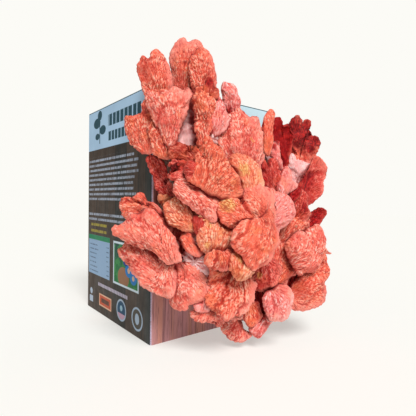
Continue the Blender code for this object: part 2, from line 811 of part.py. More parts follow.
# Lower edge
mushroom(
    "low_stub", "cream", "right_low", 258, (0.2, 0.1), 3, (258, 272),
    [(246, 264), (260, 262), (272, 276), (270, 292), (256, 294), (248, 280)],
)
mushroom(
    "low_dark", "deep", "right_low", 268, (0.3, 0.1), -2, (264, 290),
    [(248, 290), (258, 282), (274, 280), (281, 290), (270, 302), (256, 308)],
    stem=0.7,
)
mushroom(
    "low_ruffled", "coral", "low", 247, (0.3, 0.3), 6, (230, 282),
    [(208, 274), (218, 266), (236, 268), (250, 278), (258, 296), (254, 309), (244, 312),
     (238, 321), (224, 321), (213, 316), (207, 303), (206, 288)],
    stem=1.2,
)
mushroom(
    "low_skirt", "coral", "low", 256, (0.1, 0.25), 3, (216, 314),
    [(190, 313), (195, 304), (207, 301), (216, 309), (234, 312), (240, 318), (231, 323),
     (219, 326), (203, 320)],
)
mushroom(
    "low_ball", "pale", "right_low", 256, (0.4, 0.25), 6, (274, 298),
    [(261, 300), (266, 291), (279, 285), (289, 290), (293, 303), (290, 316), (278, 321),
     (266, 316)],
)
mushroom(
    "low_inner", "coral", "low", 260, (0.2, 0.2), 3, (252, 312),
    [(242, 314), (247, 308), (255, 303), (260, 312), (259, 321), (252, 327), (244, 321)],
    stem=0.8,
)
mushroom(
    "low_pale", "pale", "low", 268, (0.2, 0.2), 3, (262, 323),
    [(250, 331), (256, 323), (265, 316), (272, 320), (265, 331), (257, 336)],
    stem=0.8,
)
mushroom(
    "lowest", "pale", "low", 264, (0.1, 0.3), 4, (236, 328),
    [(222, 328), (229, 322), (240, 323), (251, 332), (246, 339), (236, 341), (226, 337)],
)

for _, room in ROOMS:
    bpy.data.objects.remove(room, do_unlink=True)
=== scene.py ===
"""Pink oyster mushroom grow kit: a printed carton, the bag and the grown block in it, and the
cluster of mushrooms that has come out through the window in its front.

Metres, +Z up. The origin is the middle of the carton's underside, and the window faces -Y.
"""

import math

import bmesh
import bpy
import numpy as np
from mathutils import Matrix, Vector
from mathutils.bvhtree import BVHTree


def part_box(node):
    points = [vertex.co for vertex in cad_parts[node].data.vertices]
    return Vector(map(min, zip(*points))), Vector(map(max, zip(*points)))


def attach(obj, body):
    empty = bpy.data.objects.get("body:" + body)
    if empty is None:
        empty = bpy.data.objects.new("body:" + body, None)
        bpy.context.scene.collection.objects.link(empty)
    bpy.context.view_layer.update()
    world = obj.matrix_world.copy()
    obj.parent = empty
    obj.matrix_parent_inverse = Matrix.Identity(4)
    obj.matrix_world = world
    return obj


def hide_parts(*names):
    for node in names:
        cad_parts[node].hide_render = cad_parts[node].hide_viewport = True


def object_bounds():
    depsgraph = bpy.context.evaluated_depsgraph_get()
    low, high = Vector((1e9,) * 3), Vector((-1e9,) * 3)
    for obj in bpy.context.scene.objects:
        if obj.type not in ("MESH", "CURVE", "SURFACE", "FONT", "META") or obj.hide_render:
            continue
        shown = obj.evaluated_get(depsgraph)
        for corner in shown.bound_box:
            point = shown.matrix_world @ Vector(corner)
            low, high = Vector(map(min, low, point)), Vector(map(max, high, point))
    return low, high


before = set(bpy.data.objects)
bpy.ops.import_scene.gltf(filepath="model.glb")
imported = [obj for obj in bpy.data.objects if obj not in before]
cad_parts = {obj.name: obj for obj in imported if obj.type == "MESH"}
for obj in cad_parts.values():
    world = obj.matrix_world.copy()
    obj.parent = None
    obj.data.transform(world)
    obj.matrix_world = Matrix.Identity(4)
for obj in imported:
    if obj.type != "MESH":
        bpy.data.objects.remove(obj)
cad_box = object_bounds()

# Carton. A tube of printed folding boxboard, glued at one side seam, with its base flaps tucked
# and its top closed by two flaps. The print is dark planks under a light blue band, with rows,
# panels and round spots on the two sides, all of them plain shapes.
MM = 0.001
board_low, board_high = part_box("carton")
half_side = board_high.x * 1000
BAND = (-5, 140, 153, 200)
PLANK = 21.0
BOX_BLUR = 0.15
ROUND_BLUR = 0.2
ROW_SHIFT = 37.3
TOP_LINE = (188.9, 189.5)
TOP_SHEET = 189.9
INSIDE_TOP = 189.7
BAND_BLUE = (174, 206, 234)
BAND_SHADE = (148, 178, 206)
FRONT_BAND = (200, 229, 240)
PLANK_DARK = (28, 34, 32)
PLANK_LIGHT = (80, 62, 50)
CORNER_SHADE = (44, 54, 54)
FRONT_MAUVE = (190, 136, 138)
FRONT_BROWN = (196, 136, 122)
FRONT_DARK = (122, 80, 82)
INK_TEAL = (36, 74, 88)
INK_PALE = (160, 169, 186)
INK_OLIVE = (164, 150, 52)
INK_SLATE = (84, 102, 128)
INK_LILAC = (186, 178, 196)
PANEL_BLUE = (142, 172, 204)
PANEL_GREEN = (28, 128, 84)
FRAME_PALE = (206, 222, 232)
LEAF_LIT = (60, 150, 72)
LEAF_LOW = (14, 110, 56)
LEAF_HIGH = (6, 62, 58)
POT_BROWN = (150, 106, 74)
BLOOM_BLUE = (28, 120, 190)
BLOOM_DARK = (40, 62, 130)
BLOOM_HEART = (214, 176, 148)
SPOT_PALE = (176, 190, 208)
SPOT_RING = (166, 184, 204)
WEAR_AND_GLINT_PALE = (206, 196, 222)
EDGE_DARK = (30, 62, 72)
RAW_DARK = (128, 116, 104)
RAW_LIGHT = (156, 144, 130)


def tint(colour):
    """A colour seen on screen, 0 to 255, as the linear colour a shader takes."""
    steps = [value / 255 for value in colour]
    return tuple(s / 12.92 if s <= 0.04045 else ((s + 0.055) / 1.055) ** 2.4 for s in steps) + (1.0,)


class Recipe:
    """A material whose nodes are written as sums: each call adds a node and gives its output.
    Colours are given as they are seen on screen."""

    def __init__(self, name):
        self.material = bpy.data.materials.new(name)
        self.material.use_nodes = True
        self.nodes = self.material.node_tree.nodes
        self.links = self.material.node_tree.links
        self.shader = self.nodes["Principled BSDF"]

    def put(self, socket, value):
        """Link a node's output to a socket, or set a number, a place or a colour on it."""
        if isinstance(value, bpy.types.NodeSocket):
            self.links.new(value, socket)
        else:
            socket.default_value = tint(value) if socket.type == "RGBA" else value

    def node(self, kind, output, inputs, **settings):
        made = self.nodes.new(kind)
        for key, value in settings.items():
            setattr(made, key, value)
        for key, value in inputs.items():
            self.put(made.inputs[key], value)
        return made.outputs[output]

    def math(self, operation, *values):
        return self.node("ShaderNodeMath", 0, dict(enumerate(values)), operation=operation)

    def ramp(self, value, low, high, start=0.0, end=1.0):
        """A value carried softly from the range low to high over to the range start to end."""
        inputs = {0: value, 1: low, 2: high, 3: start, 4: end}
        return self.node("ShaderNodeMapRange", 0, inputs, interpolation_type="SMOOTHSTEP")

    def blend(self, share, one, other):
        """Two colours mixed: the second counts by its share."""
        inputs = {0: share, 6: one, 7: other}
        return self.node("ShaderNodeMix", 2, inputs, data_type="RGBA", clamp_result=True)

    def noise(self, place, scale, detail=3.0, roughness=0.5, distortion=0.0):
        inputs = {"Vector": place, "Scale": scale, "Detail": detail, "Roughness": roughness,
                  "Distortion": distortion}
        return self.node("ShaderNodeTexNoise", 0, inputs)

    def stretch(self, place, x, y, z):
        return self.node("ShaderNodeVectorMath", 0, {0: place, 1: (x, y, z)}, operation="MULTIPLY")

    def place(self):
        """Where the surface is in the object, in mm."""
        return self.stretch(self.node("ShaderNodeTexCoord", 3, {}), 1000, 1000, 1000)

    def mark(self, name, output="Fac"):
        """A number, or with output "Vector" a place, that the mesh keeps for each point."""
        return self.node("ShaderNodeAttribute", output, {}, attribute_name=name)

    def parts_of(self, vector):
        made = self.nodes.new("ShaderNodeSeparateXYZ")
        self.put(made.inputs[0], vector)
        return tuple(made.outputs)

    def joined(self, x, y, z):
        return self.node("ShaderNodeCombineXYZ", 0, {0: x, 1: y, 2: z})

    def bump(self, height, strength, distance):
        inputs = {"Height": height, "Strength": strength, "Distance": distance}
        self.put(self.shader.inputs["Normal"], self.node("ShaderNodeBump", 0, inputs))

    def let_light_in(self, weight, radius, scale):
        """Light that goes under the skin, radius being how far in red, green and blue."""
        self.shader.inputs["Subsurface Weight"].default_value = weight
        self.shader.inputs["Subsurface Radius"].default_value = radius
        self.shader.inputs["Subsurface Scale"].default_value = scale

    def finish(self, colour, roughness, specular=0.5):
        self.put(self.shader.inputs["Base Color"], colour)
        self.put(self.shader.inputs["Roughness"], roughness)
        self.shader.inputs["Specular IOR Level"].default_value = specular


class Print:
    """Flat shapes laid one over another on a face of the carton, in mm from the face's edge
    and from the floor."""

    def __init__(self, recipe, across, height, sheet):
        self.recipe = recipe
        self.math = recipe.math
        self.across = across
        self.height = height
        self.sheet = sheet

    def lay(self, mask, colour):
        self.sheet = self.recipe.blend(mask, self.sheet, colour)

    def within(self, value, low, high):
        off = self.math("ABSOLUTE", self.math("SUBTRACT", value, (low + high) / 2))
        return self.recipe.ramp(off, (high - low) / 2 - BOX_BLUR, (high - low) / 2 + BOX_BLUR, 1.0, 0.0)

    def box(self, left, right, low, high):
        wide = self.within(self.across, left, right)
        return self.math("MULTIPLY", wide, self.within(self.height, low, high))

    def round(self, across, height, radius, squash=1.0):
        """A round or oval shape; squash makes it lower than wide."""
        x = self.math("SUBTRACT", self.across, across)
        y = self.math("DIVIDE", self.math("SUBTRACT", self.height, height), squash)
        reach = self.math("SQRT", self.math("MULTIPLY_ADD", x, x, self.math("MULTIPLY", y, y)))
        return self.recipe.ramp(reach, radius - ROUND_BLUR, radius + ROUND_BLUR, 1.0, 0.0)

    def dashes(self, left, right, low, high, pitch, share, length, fill, ragged=0.0):
        """Rows of short dashes: pitch is from row to row, share the part of it that is inked,
        length a dash's mean length, fill how much of a row is inked, and ragged how far the
        rows' left ends differ."""
        row = self.math("DIVIDE", self.math("SUBTRACT", self.height, low), pitch)
        part = self.math("FRACT", row)
        number = self.math("FLOOR", row)
        inked = self.recipe.ramp(part, share - 0.06, share + 0.06, 1.0, 0.0)
        shift = self.math("MULTIPLY", number, ROW_SHIFT)
        along = self.math("DIVIDE", self.across, length)
        spot = self.recipe.joined(self.math("ADD", along, shift), number, 0.0)
        dash = self.recipe.noise(spot, 1.0, detail=1.0, roughness=0.5)
        cut = self.recipe.ramp(dash, 0.52 - 0.16 * fill, 0.54 - 0.16 * fill)
        close = self.recipe.joined(self.math("MULTIPLY", self.across, 0.9), shift, part)
        nick = self.recipe.noise(close, 1.0, detail=2.0, roughness=0.7)
        cut = self.math("MULTIPLY", cut, self.recipe.ramp(nick, 0.38, 0.52, 0.25, 1.0))
        end = self.recipe.noise(self.recipe.joined(number, 5.5, 2.0), 1.7, detail=0.0)
        end = self.math("MULTIPLY_ADD", end, ragged, left - 0.3 * ragged)
        cut = self.math("MULTIPLY", cut, self.math("GREATER_THAN", self.across, end))
        within = self.box(left, right, low, high)
        return self.math("MULTIPLY", self.math("MULTIPLY", inked, cut), within)

    def blocks(self, left, right, low, high, pitch):
        """A row of plain upright blocks that differ in width."""
        cell = self.math("DIVIDE", self.math("SUBTRACT", self.across, left), pitch)
        part = self.math("FRACT", cell)
        number = self.math("FLOOR", cell)
        width = self.recipe.noise(self.recipe.joined(number, high, 1.0), 1.3, detail=0.0)
        ink = self.math("LESS_THAN", part, self.math("MULTIPLY_ADD", width, 0.24, 0.68))
        return self.math("MULTIPLY", ink, self.box(left, right, low, high))


def side_planks(recipe, along, height):
    """Upright boards of old wood: each its own shade, streaked along the grain, with dark gaps."""
    board = recipe.math("DIVIDE", along, PLANK)
    number = recipe.math("FLOOR", board)
    shade = recipe.noise(recipe.joined(recipe.math("MULTIPLY", number, 7.7), 3.0, 1.0), 1.0, detail=0.0)
    grain_place = recipe.joined(along, recipe.math("MULTIPLY", height, 0.035), number)
    grain = recipe.noise(grain_place, 0.75, detail=5.0, roughness=0.65, distortion=0.4)
    fine = recipe.noise(grain_place, 2.6, detail=3.0, roughness=0.7)
    tone = recipe.math("MULTIPLY_ADD", shade, 0.5, recipe.math("MULTIPLY", grain, 0.8))
    tone = recipe.math("MULTIPLY_ADD", fine, 0.25, tone)
    wood = recipe.blend(recipe.ramp(tone, 0.52, 1.0), PLANK_DARK, PLANK_LIGHT)
    part = recipe.math("FRACT", board)
    edge = recipe.math("ABSOLUTE", recipe.math("SUBTRACT", part, 0.5))
    gap = recipe.math("MULTIPLY", recipe.ramp(edge, 0.47, 0.495), 0.75)
    wood = recipe.blend(gap, wood, [value * 0.45 for value in PLANK_DARK])
    return recipe.blend(recipe.ramp(along, 3.0, 14.0, 0.75, 0.0), wood, CORNER_SHADE)


def lay_rows(panel):
    """Rows of dashes on the planks, and a blue panel with a green head and smaller dashes."""
    panel.lay(panel.dashes(21, 124, 105.5, 146, 4.5, 0.46, 3.5, 0.9, ragged=22), INK_PALE)
    panel.lay(panel.dashes(40, 123.5, 86.2, 95, 4.7, 0.46, 3.5, 0.9), INK_PALE)
    panel.lay(panel.dashes(81, 118.5, 74.8, 86.2, 6.0, 0.42, 3.0, 0.9), INK_OLIVE)
    panel.lay(panel.box(73.7, 123.7, 34.4, 72), PANEL_BLUE)
    panel.lay(panel.box(73.7, 123.7, 67.6, 72), PANEL_GREEN)
    panel.lay(panel.dashes(75.5, 81, 37, 66.5, 4.2, 0.26, 3.0, 0.6), INK_SLATE)
    panel.lay(panel.dashes(100, 121, 37, 66.5, 4.2, 0.26, 2.5, 0.7, ragged=14), INK_SLATE)


def lay_picture(panel, place):
    """A framed picture in plain shapes: round blue blooms and a brown pot before green leaves."""
    recipe = panel.recipe
    panel.lay(panel.box(18.8, 66, 34, 70.7), FRAME_PALE)
    picture = panel.box(20.6, 64.2, 35.8, 68.9)
    green = recipe.blend(recipe.ramp(panel.height, 46, 66), LEAF_LOW, LEAF_HIGH)
    leaves = recipe.noise(place, 0.16, detail=3.0, roughness=0.6)
    green = recipe.blend(recipe.ramp(leaves, 0.48, 0.56, 0.0, 0.6), green, LEAF_LIT)
    panel.lay(picture, green)
    panel.lay(panel.math("MULTIPLY", picture, panel.round(46, 42, 10.5, 0.8)), POT_BROWN)
    for across, height, radius, petal in (
        (36, 49, 6.5, BLOOM_BLUE), (28, 44, 6.0, BLOOM_BLUE), (42, 56, 5.0, BLOOM_DARK),
    ):
        panel.lay(panel.math("MULTIPLY", picture, panel.round(across, height, radius, 0.85)), petal)
        heart = panel.round(across, height, radius * 0.35)
        panel.lay(panel.math("MULTIPLY", picture, heart), BLOOM_HEART)


def lay_foot(panel):
    """Small shapes near the foot: a row of blocks, a pale spot on a square, and an orange
    plate and two round spots beside it."""
    panel.lay(panel.blocks(38, 100, 25.2, 28.2, 3.1), INK_LILAC)
    panel.lay(panel.box(112.2, 120.8, 6.5, 12.5), SPOT_PALE)
    panel.lay(panel.round(116.5, 17.0, 3.0), SPOT_PALE)
    panel.lay(panel.box(69.3, 97, 7.3, 18.6), (222, 176, 146))
    panel.lay(panel.box(70.8, 95.5, 8.6, 17.3), (196, 84, 52))
    panel.lay(panel.box(74.5, 91.8, 11, 15), (96, 60, 44))
    for across, disc, lower in (
        (49.3, (26, 72, 104), (190, 150, 172)), (21.1, (72, 66, 58), (72, 66, 58)),
    ):
        panel.lay(panel.round(across, 13.9, 9.2), SPOT_RING)
        core = panel.round(across, 13.9, 7.6)
        panel.lay(core, disc)
        foot = panel.recipe.ramp(panel.height, 10.8, 11.2, 1.0, 0.0)
        panel.lay(panel.math("MULTIPLY", core, foot), lower)
    panel.lay(panel.round(21.1, 13.9, 3.4, 1.3), SPOT_RING)
    panel.lay(panel.round(49.3, 15.5, 2.4), (150, 186, 204))


def lay_head(panel):
    """Teal shapes on the band: two rows of blocks, and a thin upright with four ovals."""
    panel.lay(panel.blocks(17.8, 79.5, 171.5, 181.5, 7.6), INK_TEAL)
    panel.lay(panel.blocks(40, 79.5, 158.5, 166.5, 6.6), INK_TEAL)
    panel.lay(panel.box(97.6, 99.2, 158, 180), INK_TEAL)
    for oval in ((105, 177.5, 8.0, 0.6), (91.5, 170, 7.0, 0.6), (98.4, 184, 5.0, 0.9), (104, 165, 5.0, 0.6)):
        panel.lay(panel.round(*oval), INK_TEAL)


def side_print(recipe, place, along, height):
    """What both sides carry, from the planks up."""
    panel = Print(recipe, along, height, side_planks(recipe, along, height))
    blotch = recipe.noise(place, 0.035, detail=4.0)
    band = recipe.blend(recipe.ramp(blotch, 0.3, 0.7, 0.0, 0.35), BAND_BLUE, BAND_SHADE)
    panel.lay(panel.box(*BAND), band)
    lay_rows(panel)
    lay_picture(panel, place)
    lay_foot(panel)
    lay_head(panel)
    return panel.sheet


def front_print(recipe, x, height):
    """The front and the back: mauve and brown wood with dark streaks under the light band."""
    grain_line = recipe.joined(x, recipe.math("MULTIPLY", height, 0.02), 4.0)
    broad = recipe.noise(grain_line, 0.13, detail=2.0, roughness=0.6)
    narrow = recipe.noise(grain_line, 0.42, detail=4.0, roughness=0.7, distortion=0.3)
    wood = recipe.blend(recipe.ramp(broad, 0.4, 0.62), FRONT_MAUVE, FRONT_BROWN)
    wood = recipe.blend(recipe.ramp(narrow, 0.36, 0.5, 0.7, 0.0), wood, FRONT_DARK)
    streak_line = recipe.joined(x, recipe.math("MULTIPLY", height, 0.05), 9.0)
    streak = recipe.noise(streak_line, 1.3, detail=3.0, roughness=0.7)
    wood = recipe.blend(recipe.ramp(streak, 0.36, 0.5, 0.55, 0.0), wood, FRONT_DARK)
    face = Print(recipe, recipe.math("ADD", x, half_side), height, wood)
    face.lay(face.box(*BAND), FRONT_BAND)
    return face.sheet


def printed_board():
    """The carton's print, laid out by where the surface is: two sides alike, front and back
    plainer, pale at the upright corners from scuffs and a painted highlight, and raw grey board inside."""
    recipe = Recipe("printed_board")
    place = recipe.place()
    x, y, z = recipe.parts_of(place)
    sides = side_print(recipe, place, recipe.math("ADD", y, half_side), z)
    front = front_print(recipe, x, z)

    off_x = recipe.math("ABSOLUTE", x)
    off_y = recipe.math("ABSOLUTE", y)
    on_side = recipe.math("GREATER_THAN", off_x, recipe.math("ADD", off_y, 0.25))
    colour = recipe.blend(on_side, front, sides)
    fold = recipe.math("MINIMUM", off_x, off_y)
    # The upright corners turn pale: partly scuffs, and along the edge partly a painted highlight.
    scuff = recipe.noise(place, 1.4, detail=3.0, roughness=0.7)
    corner = recipe.ramp(fold, half_side - 1.5, half_side - 0.8)
    wear_and_glint = recipe.math("MULTIPLY", corner, recipe.ramp(scuff, 0.34, 0.52))
    colour = recipe.blend(recipe.math("MULTIPLY", wear_and_glint, 0.85), colour, WEAR_AND_GLINT_PALE)
    rim = recipe.ramp(z, *TOP_LINE)
    top_sheet = recipe.math("GREATER_THAN", z, TOP_SHEET)
    colour = recipe.blend(recipe.math("SUBTRACT", rim, top_sheet), colour, EDGE_DARK)
    colour = recipe.blend(top_sheet, colour, FRONT_BAND)

    reach = recipe.math("MAXIMUM", off_x, off_y)
    clear = recipe.ramp(reach, half_side - 1.3, half_side - 1.2, 1.0, 0.0)
    inner = recipe.math("MULTIPLY", clear, recipe.math("LESS_THAN", z, INSIDE_TOP))
    raw = recipe.blend(recipe.noise(place, 0.8, detail=4.0), RAW_DARK, RAW_LIGHT)
    colour = recipe.blend(inner, colour, raw)
    rub = recipe.noise(place, 0.12, detail=5.0, roughness=0.6)
    recipe.finish(colour, recipe.ramp(rub, 0.3, 0.7, 0.5, 0.66), specular=0.3)
    recipe.bump(recipe.noise(place, 0.9, detail=4.0, roughness=0.6), 0.12, 0.0003)
    return recipe.material


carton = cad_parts["carton"]
carton.data.materials.clear()
carton.data.materials.append(printed_board())

# Bag and block. The block is sawdust that the fungus has grown through and turned pale, in a
# thin hazy film bag, slit open behind the window. Both stand on the carton's base.
def bag_film():
    recipe = Recipe("bag_film")
    upright = recipe.stretch(recipe.place(), 1.0, 1.0, 0.4)
    crease = recipe.noise(upright, 0.09, detail=5.0, roughness=0.6, distortion=1.2)
    colour = recipe.blend(recipe.ramp(crease, 0.35, 0.65), (196, 190, 180), (226, 222, 214))
    recipe.finish(colour, recipe.ramp(crease, 0.3, 0.7, 0.2, 0.4))
    recipe.bump(crease, 0.6, 0.002)
    return recipe.material


def grown_block():
    recipe = Recipe("grown_block")
    place = recipe.place()
    chips = recipe.noise(place, 0.45, detail=5.0, roughness=0.7)
    threads = recipe.noise(place, 0.12, detail=6.0, roughness=0.75, distortion=2.0)
    colour = recipe.blend(recipe.ramp(chips, 0.35, 0.65), (120, 88, 60), (178, 146, 108))
    colour = recipe.blend(recipe.ramp(threads, 0.38, 0.55), colour, (236, 228, 216))
    recipe.finish(colour, 0.9, specular=0.2)
    recipe.bump(chips, 0.8, 0.0012)
    return recipe.material


for node, finish in (("grow_bag", bag_film()), ("substrate_block", grown_block())):
    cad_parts[node].data.materials.clear()
    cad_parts[node].data.materials.append(finish)

# Cluster base. The feet of all the stems are grown together into one lumpy heap, pale pink with
# loose whitish threads, that is pushed out through the slit bag and the window.
base_low, base_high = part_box("cluster_base")
SHUFFLE = np.random.default_rng(11).permutation(256)
TURNS = np.random.default_rng(12).uniform(0, 2 * math.pi, 256)
FOOT_COLUMNS = 200
FOOT_RINGS = 60
FOOT_LOBE = 9 * MM
FOOT_WRINKLE = 3.5 * MM
FOOT_DEPTH = 5 * MM
SHOULDER = 0.3
FILL = 0.97
BACK = 0.02


def waves(x, y, around=0, seed=0):
    """A smooth random height over a plane, about -0.7 to 0.7, that crosses zero about once a
    unit. With around set, x comes round again after that many units."""
    x = np.asarray(x, float)
    y = np.asarray(y, float)
    left = np.floor(x).astype(int)
    low = np.floor(y).astype(int)
    total = 0.0
    for i in (0, 1):
        for j in (0, 1):
            column = (left + i) % around if around else left + i
            turn = TURNS[(SHUFFLE[(column + 57 * seed) % 256] + low + j + 31 * seed) % 256]
            over = x - left - i
            up = y - low - j
            near = 1 - np.abs(over)
            level = 1 - np.abs(up)
            weight = near ** 3 * (near * (6 * near - 15) + 10) * level ** 3 * (level * (6 * level - 15) + 10)
            total = total + weight * (np.cos(turn) * over + np.sin(turn) * up)
    return total


def ease(value, low, high):
    part = np.clip((value - low) / (high - low), 0, 1)
    return part * part * (3 - 2 * part)


def skin_normals(grid):
    """The way each point of a closed grid faces, rings along the first axis."""
    along = np.gradient(grid, axis=0)
    across = np.roll(grid, -1, axis=1) - np.roll(grid, 1, axis=1)
    normal = np.cross(across, along)
    length = np.linalg.norm(normal, axis=2, keepdims=True)
    return normal / np.maximum(length, 1e-12)


def ring_quads(rings, columns, first):
    """Faces between neighbouring rings, where first is the number of the first ring's start."""
    k = np.arange(columns)
    around = (k + 1) % columns
    level = np.arange(rings - 1)[:, None] * columns + first
    quads = np.stack([level + k, level + around, level + columns + around, level + columns + k], axis=2)
    return quads.reshape(-1, 4)


def skin(name, grid, low_pole, high_pole, marks, finish):
    """A closed mesh through a grid of rings with a pole at each end. marks are numbers or
    vectors kept for each point, for the finish to read."""
    rings, columns = grid.shape[:2]
    points = np.concatenate([[low_pole], grid.reshape(-1, 3), [high_pole]])
    quads = ring_quads(rings, columns, 1)
    k = np.arange(columns)
    following = (k + 1) % columns
    start = np.stack([np.zeros(columns, int), 1 + following, 1 + k], axis=1)
    top = 1 + (rings - 1) * columns
    end = np.stack([top + k, top + following, np.full(columns, len(points) - 1)], axis=1)
    faces = start.tolist() + quads.tolist() + end.tolist()
    middle = grid.reshape(-1, 3).mean(axis=0)
    corner = points[quads]
    facing = np.cross(corner[:, 1] - corner[:, 0], corner[:, 3] - corner[:, 0])
    if np.sum(facing * (corner[:, 0] - middle)) < 0:
        faces = [face[::-1] for face in faces]
    mesh = bpy.data.meshes.new(name)
    mesh.from_pydata(points.tolist(), [], faces)
    mesh.materials.append(finish)
    mesh.shade_smooth()
    for mark, values in marks.items():
        flat = values.reshape(rings * columns, -1)
        full = np.concatenate([flat[:columns].mean(axis=0)[None], flat, flat[-columns:].mean(axis=0)[None]])
        kind, key = ("FLOAT_VECTOR", "vector") if full.shape[1] == 3 else ("FLOAT", "value")
        mesh.attributes.new(mark, kind, "POINT").data.foreach_set(key, full.ravel())
    piece = bpy.data.objects.new(name, mesh)
    bpy.context.scene.collection.objects.link(piece)
    return piece


def base_flesh():
    """Pale pink, near white where threads cover it, with deeper red painted in the folds between the feet as
    shade.
    """
    recipe = Recipe("base_flesh")
    place = recipe.place()
    fold = recipe.mark("crease")
    patch = recipe.noise(place, 0.09, detail=4.0, roughness=0.6)
    colour = recipe.blend(recipe.ramp(patch, 0.4, 0.66), (222, 122, 112), (243, 170, 160))
    veil = recipe.noise(recipe.stretch(place, 1.0, 1.0, 0.6), 0.34, detail=5.0, roughness=0.7)
    colour = recipe.blend(recipe.ramp(veil, 0.5, 0.62, 0.0, 0.7), colour, (251, 218, 212))
    # Painted shade: the folds between the feet are darkened to deep red.
    colour = recipe.blend(recipe.ramp(fold, 0.0, 0.5, 0.75, 0.0), colour, (156, 46, 46))
    recipe.finish(colour, 0.8, specular=0.3)
    recipe.bump(recipe.noise(place, 0.8, detail=5.0, roughness=0.7), 0.8, 0.0012)
    recipe.let_light_in(0.12, (1.0, 0.4, 0.3), 0.002)
    return recipe.material


def cluster_base():
    """A dome through the window: feet are raised lobes of it, and furrows part them."""
    angle = np.linspace(0, 2 * math.pi, FOOT_COLUMNS, endpoint=False)
    rise = np.linspace(0, 1, FOOT_RINGS)[:, None]
    middle = (np.array(base_low) + np.array(base_high)) / 2
    half_wide = (base_high.x - base_low.x) / 2
    half_tall = (base_high.z - base_low.z) / 2
    reach = base_high.y - base_low.y
    flank = 0.9 + 0.1 * np.sin(rise / SHOULDER * math.pi / 2)
    dome = np.sqrt(np.clip(1 - (np.maximum(rise - SHOULDER, 0) / 0.72) ** 2.2, 0.0, 1))
    size = np.where(rise < SHOULDER, flank, dome)
    x = middle[0] + half_wide * FILL * size * np.cos(angle)
    z = middle[2] + half_tall * FILL * size * np.sin(angle)
    y = base_high.y - reach * (BACK + 0.9 * rise) + 0 * angle
    grid = np.stack([x, y, z], axis=2)
    feet = np.abs(waves(x / FOOT_LOBE, z / FOOT_LOBE, seed=3))
    feet = feet + 0.4 * np.abs(waves(x / FOOT_WRINKLE, z / FOOT_WRINKLE, seed=4))
    feet = feet * ease(rise, 0.1, 0.35)
    grid[:, :, 1] -= feet * FOOT_DEPTH
    marks = {"crease": np.clip(feet * 2.4, 0, 1)}
    low_pole = (middle[0], base_high.y - BACK * reach, middle[2])
    piece = skin("fused_feet", grid, low_pole, tuple(grid[-1].mean(axis=0)), marks, base_flesh())
    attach(piece, "root")
    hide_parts("cluster_base")


cluster_base()

# Stem bundles. Three trunks lead out of the base: up the carton's face to the crown, to the
# right end, and down to the lower edge. Each is several pale stems grown into one, with
# furrows along its length.
TRUNK_COLUMNS = 120
TRUNK_RINGS = 60
TRUNK_STEMS = 9
TRUNK_STREAKS = 26
SPINE_STEPS = 16


def curve(knots, steps):
    """Points of a smooth curve through the knots, from the second to the last but one, with
    that many of them from knot to knot."""
    part = np.linspace(0, 1, steps, endpoint=False)[:, None]
    runs = []
    for a, b, c, d in zip(knots, knots[1:], knots[2:], knots[3:]):
        runs.append(0.5 * (2 * b + (c - a) * part + (2 * a - 5 * b + 4 * c - d) * part ** 2
                           + (3 * b - a - 3 * c + d) * part ** 3))
    return np.concatenate([*runs, knots[-2][None]])


def evenly(dense, count, closed=False):
    """count points evenly spaced along a run of points, and how long the run is."""
    steps = np.concatenate([[0], np.cumsum(np.linalg.norm(np.diff(dense, axis=0), axis=1))])
    at = np.linspace(0, steps[-1], count, endpoint=not closed)
    return np.stack([np.interp(at, steps, axis) for axis in dense.T], axis=1), steps[-1]


def stem_flesh():
    """Smooth and pale pink, with fine streaks along the stem."""
    recipe = Recipe("stem_flesh")
    place = recipe.place()
    fold = recipe.mark("crease")
    streak = recipe.noise(recipe.stretch(place, 1.0, 1.0, 0.2), 0.5, detail=4.0, roughness=0.6)
    colour = recipe.blend(recipe.ramp(streak, 0.35, 0.65), (240, 158, 152), (252, 206, 200))
    # Painted shade: the furrows between the grown-together stems are darkened to red.
    colour = recipe.blend(recipe.ramp(fold, 0.1, 0.6, 0.8, 0.0), colour, (190, 60, 56))
    recipe.finish(colour, 0.7, specular=0.35)
    recipe.bump(streak, 0.4, 0.0006)
    recipe.let_light_in(0.15, (1.0, 0.4, 0.3), 0.002)
    return recipe.material


def face_point(across, out, height):
    """A point by its place on the front: mm from the middle to the right, mm in front of the
    board, and mm above the floor."""
    return np.array((across * MM, board_low.y - out * MM, height * MM))


def trunk(name, node, spots, widths, finish):
    """Furrowed tube along a few places on the front, as wide in mm as widths says at each."""
    points = [face_point(*spot) for spot in spots]
    knots = np.array([2 * points[0] - points[1], *points, 2 * points[-1] - points[-2]])
    spine, _ = evenly(curve(knots, SPINE_STEPS), TRUNK_RINGS)
    part = np.linspace(0, 1, TRUNK_RINGS)
    wide = np.interp(part, np.linspace(0, 1, len(widths)), widths) * MM
    run = np.gradient(spine, axis=0)
    run /= np.linalg.norm(run, axis=1, keepdims=True)
    side = np.cross(run, (0.2, 0.95, 0.1))
    side /= np.linalg.norm(side, axis=1, keepdims=True)
    other = np.cross(run, side)
    turn = np.linspace(0, 2 * math.pi, TRUNK_COLUMNS, endpoint=False)
    along = part[:, None]
    round_it = turn / (2 * math.pi)
    lobes = np.abs(waves(round_it * TRUNK_STEMS + 0 * along, along * 1.3, around=TRUNK_STEMS, seed=6))
    fine = np.abs(waves(round_it * TRUNK_STREAKS + 0 * along, along * 3, around=TRUNK_STREAKS, seed=7))
    radius = wide[:, None] * (0.86 + 0.3 * lobes + 0.06 * fine)
    grid = (spine[:, None] + side[:, None] * (radius * np.cos(turn))[:, :, None]
            + other[:, None] * (radius * np.sin(turn))[:, :, None])
    marks = {"crease": np.clip(lobes * 2.2, 0, 1)}
    piece = skin(name, grid, spine[0], spine[-1] + run[-1] * wide[-1] * 0.5, marks, finish)
    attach(piece, "root")
    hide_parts(node)


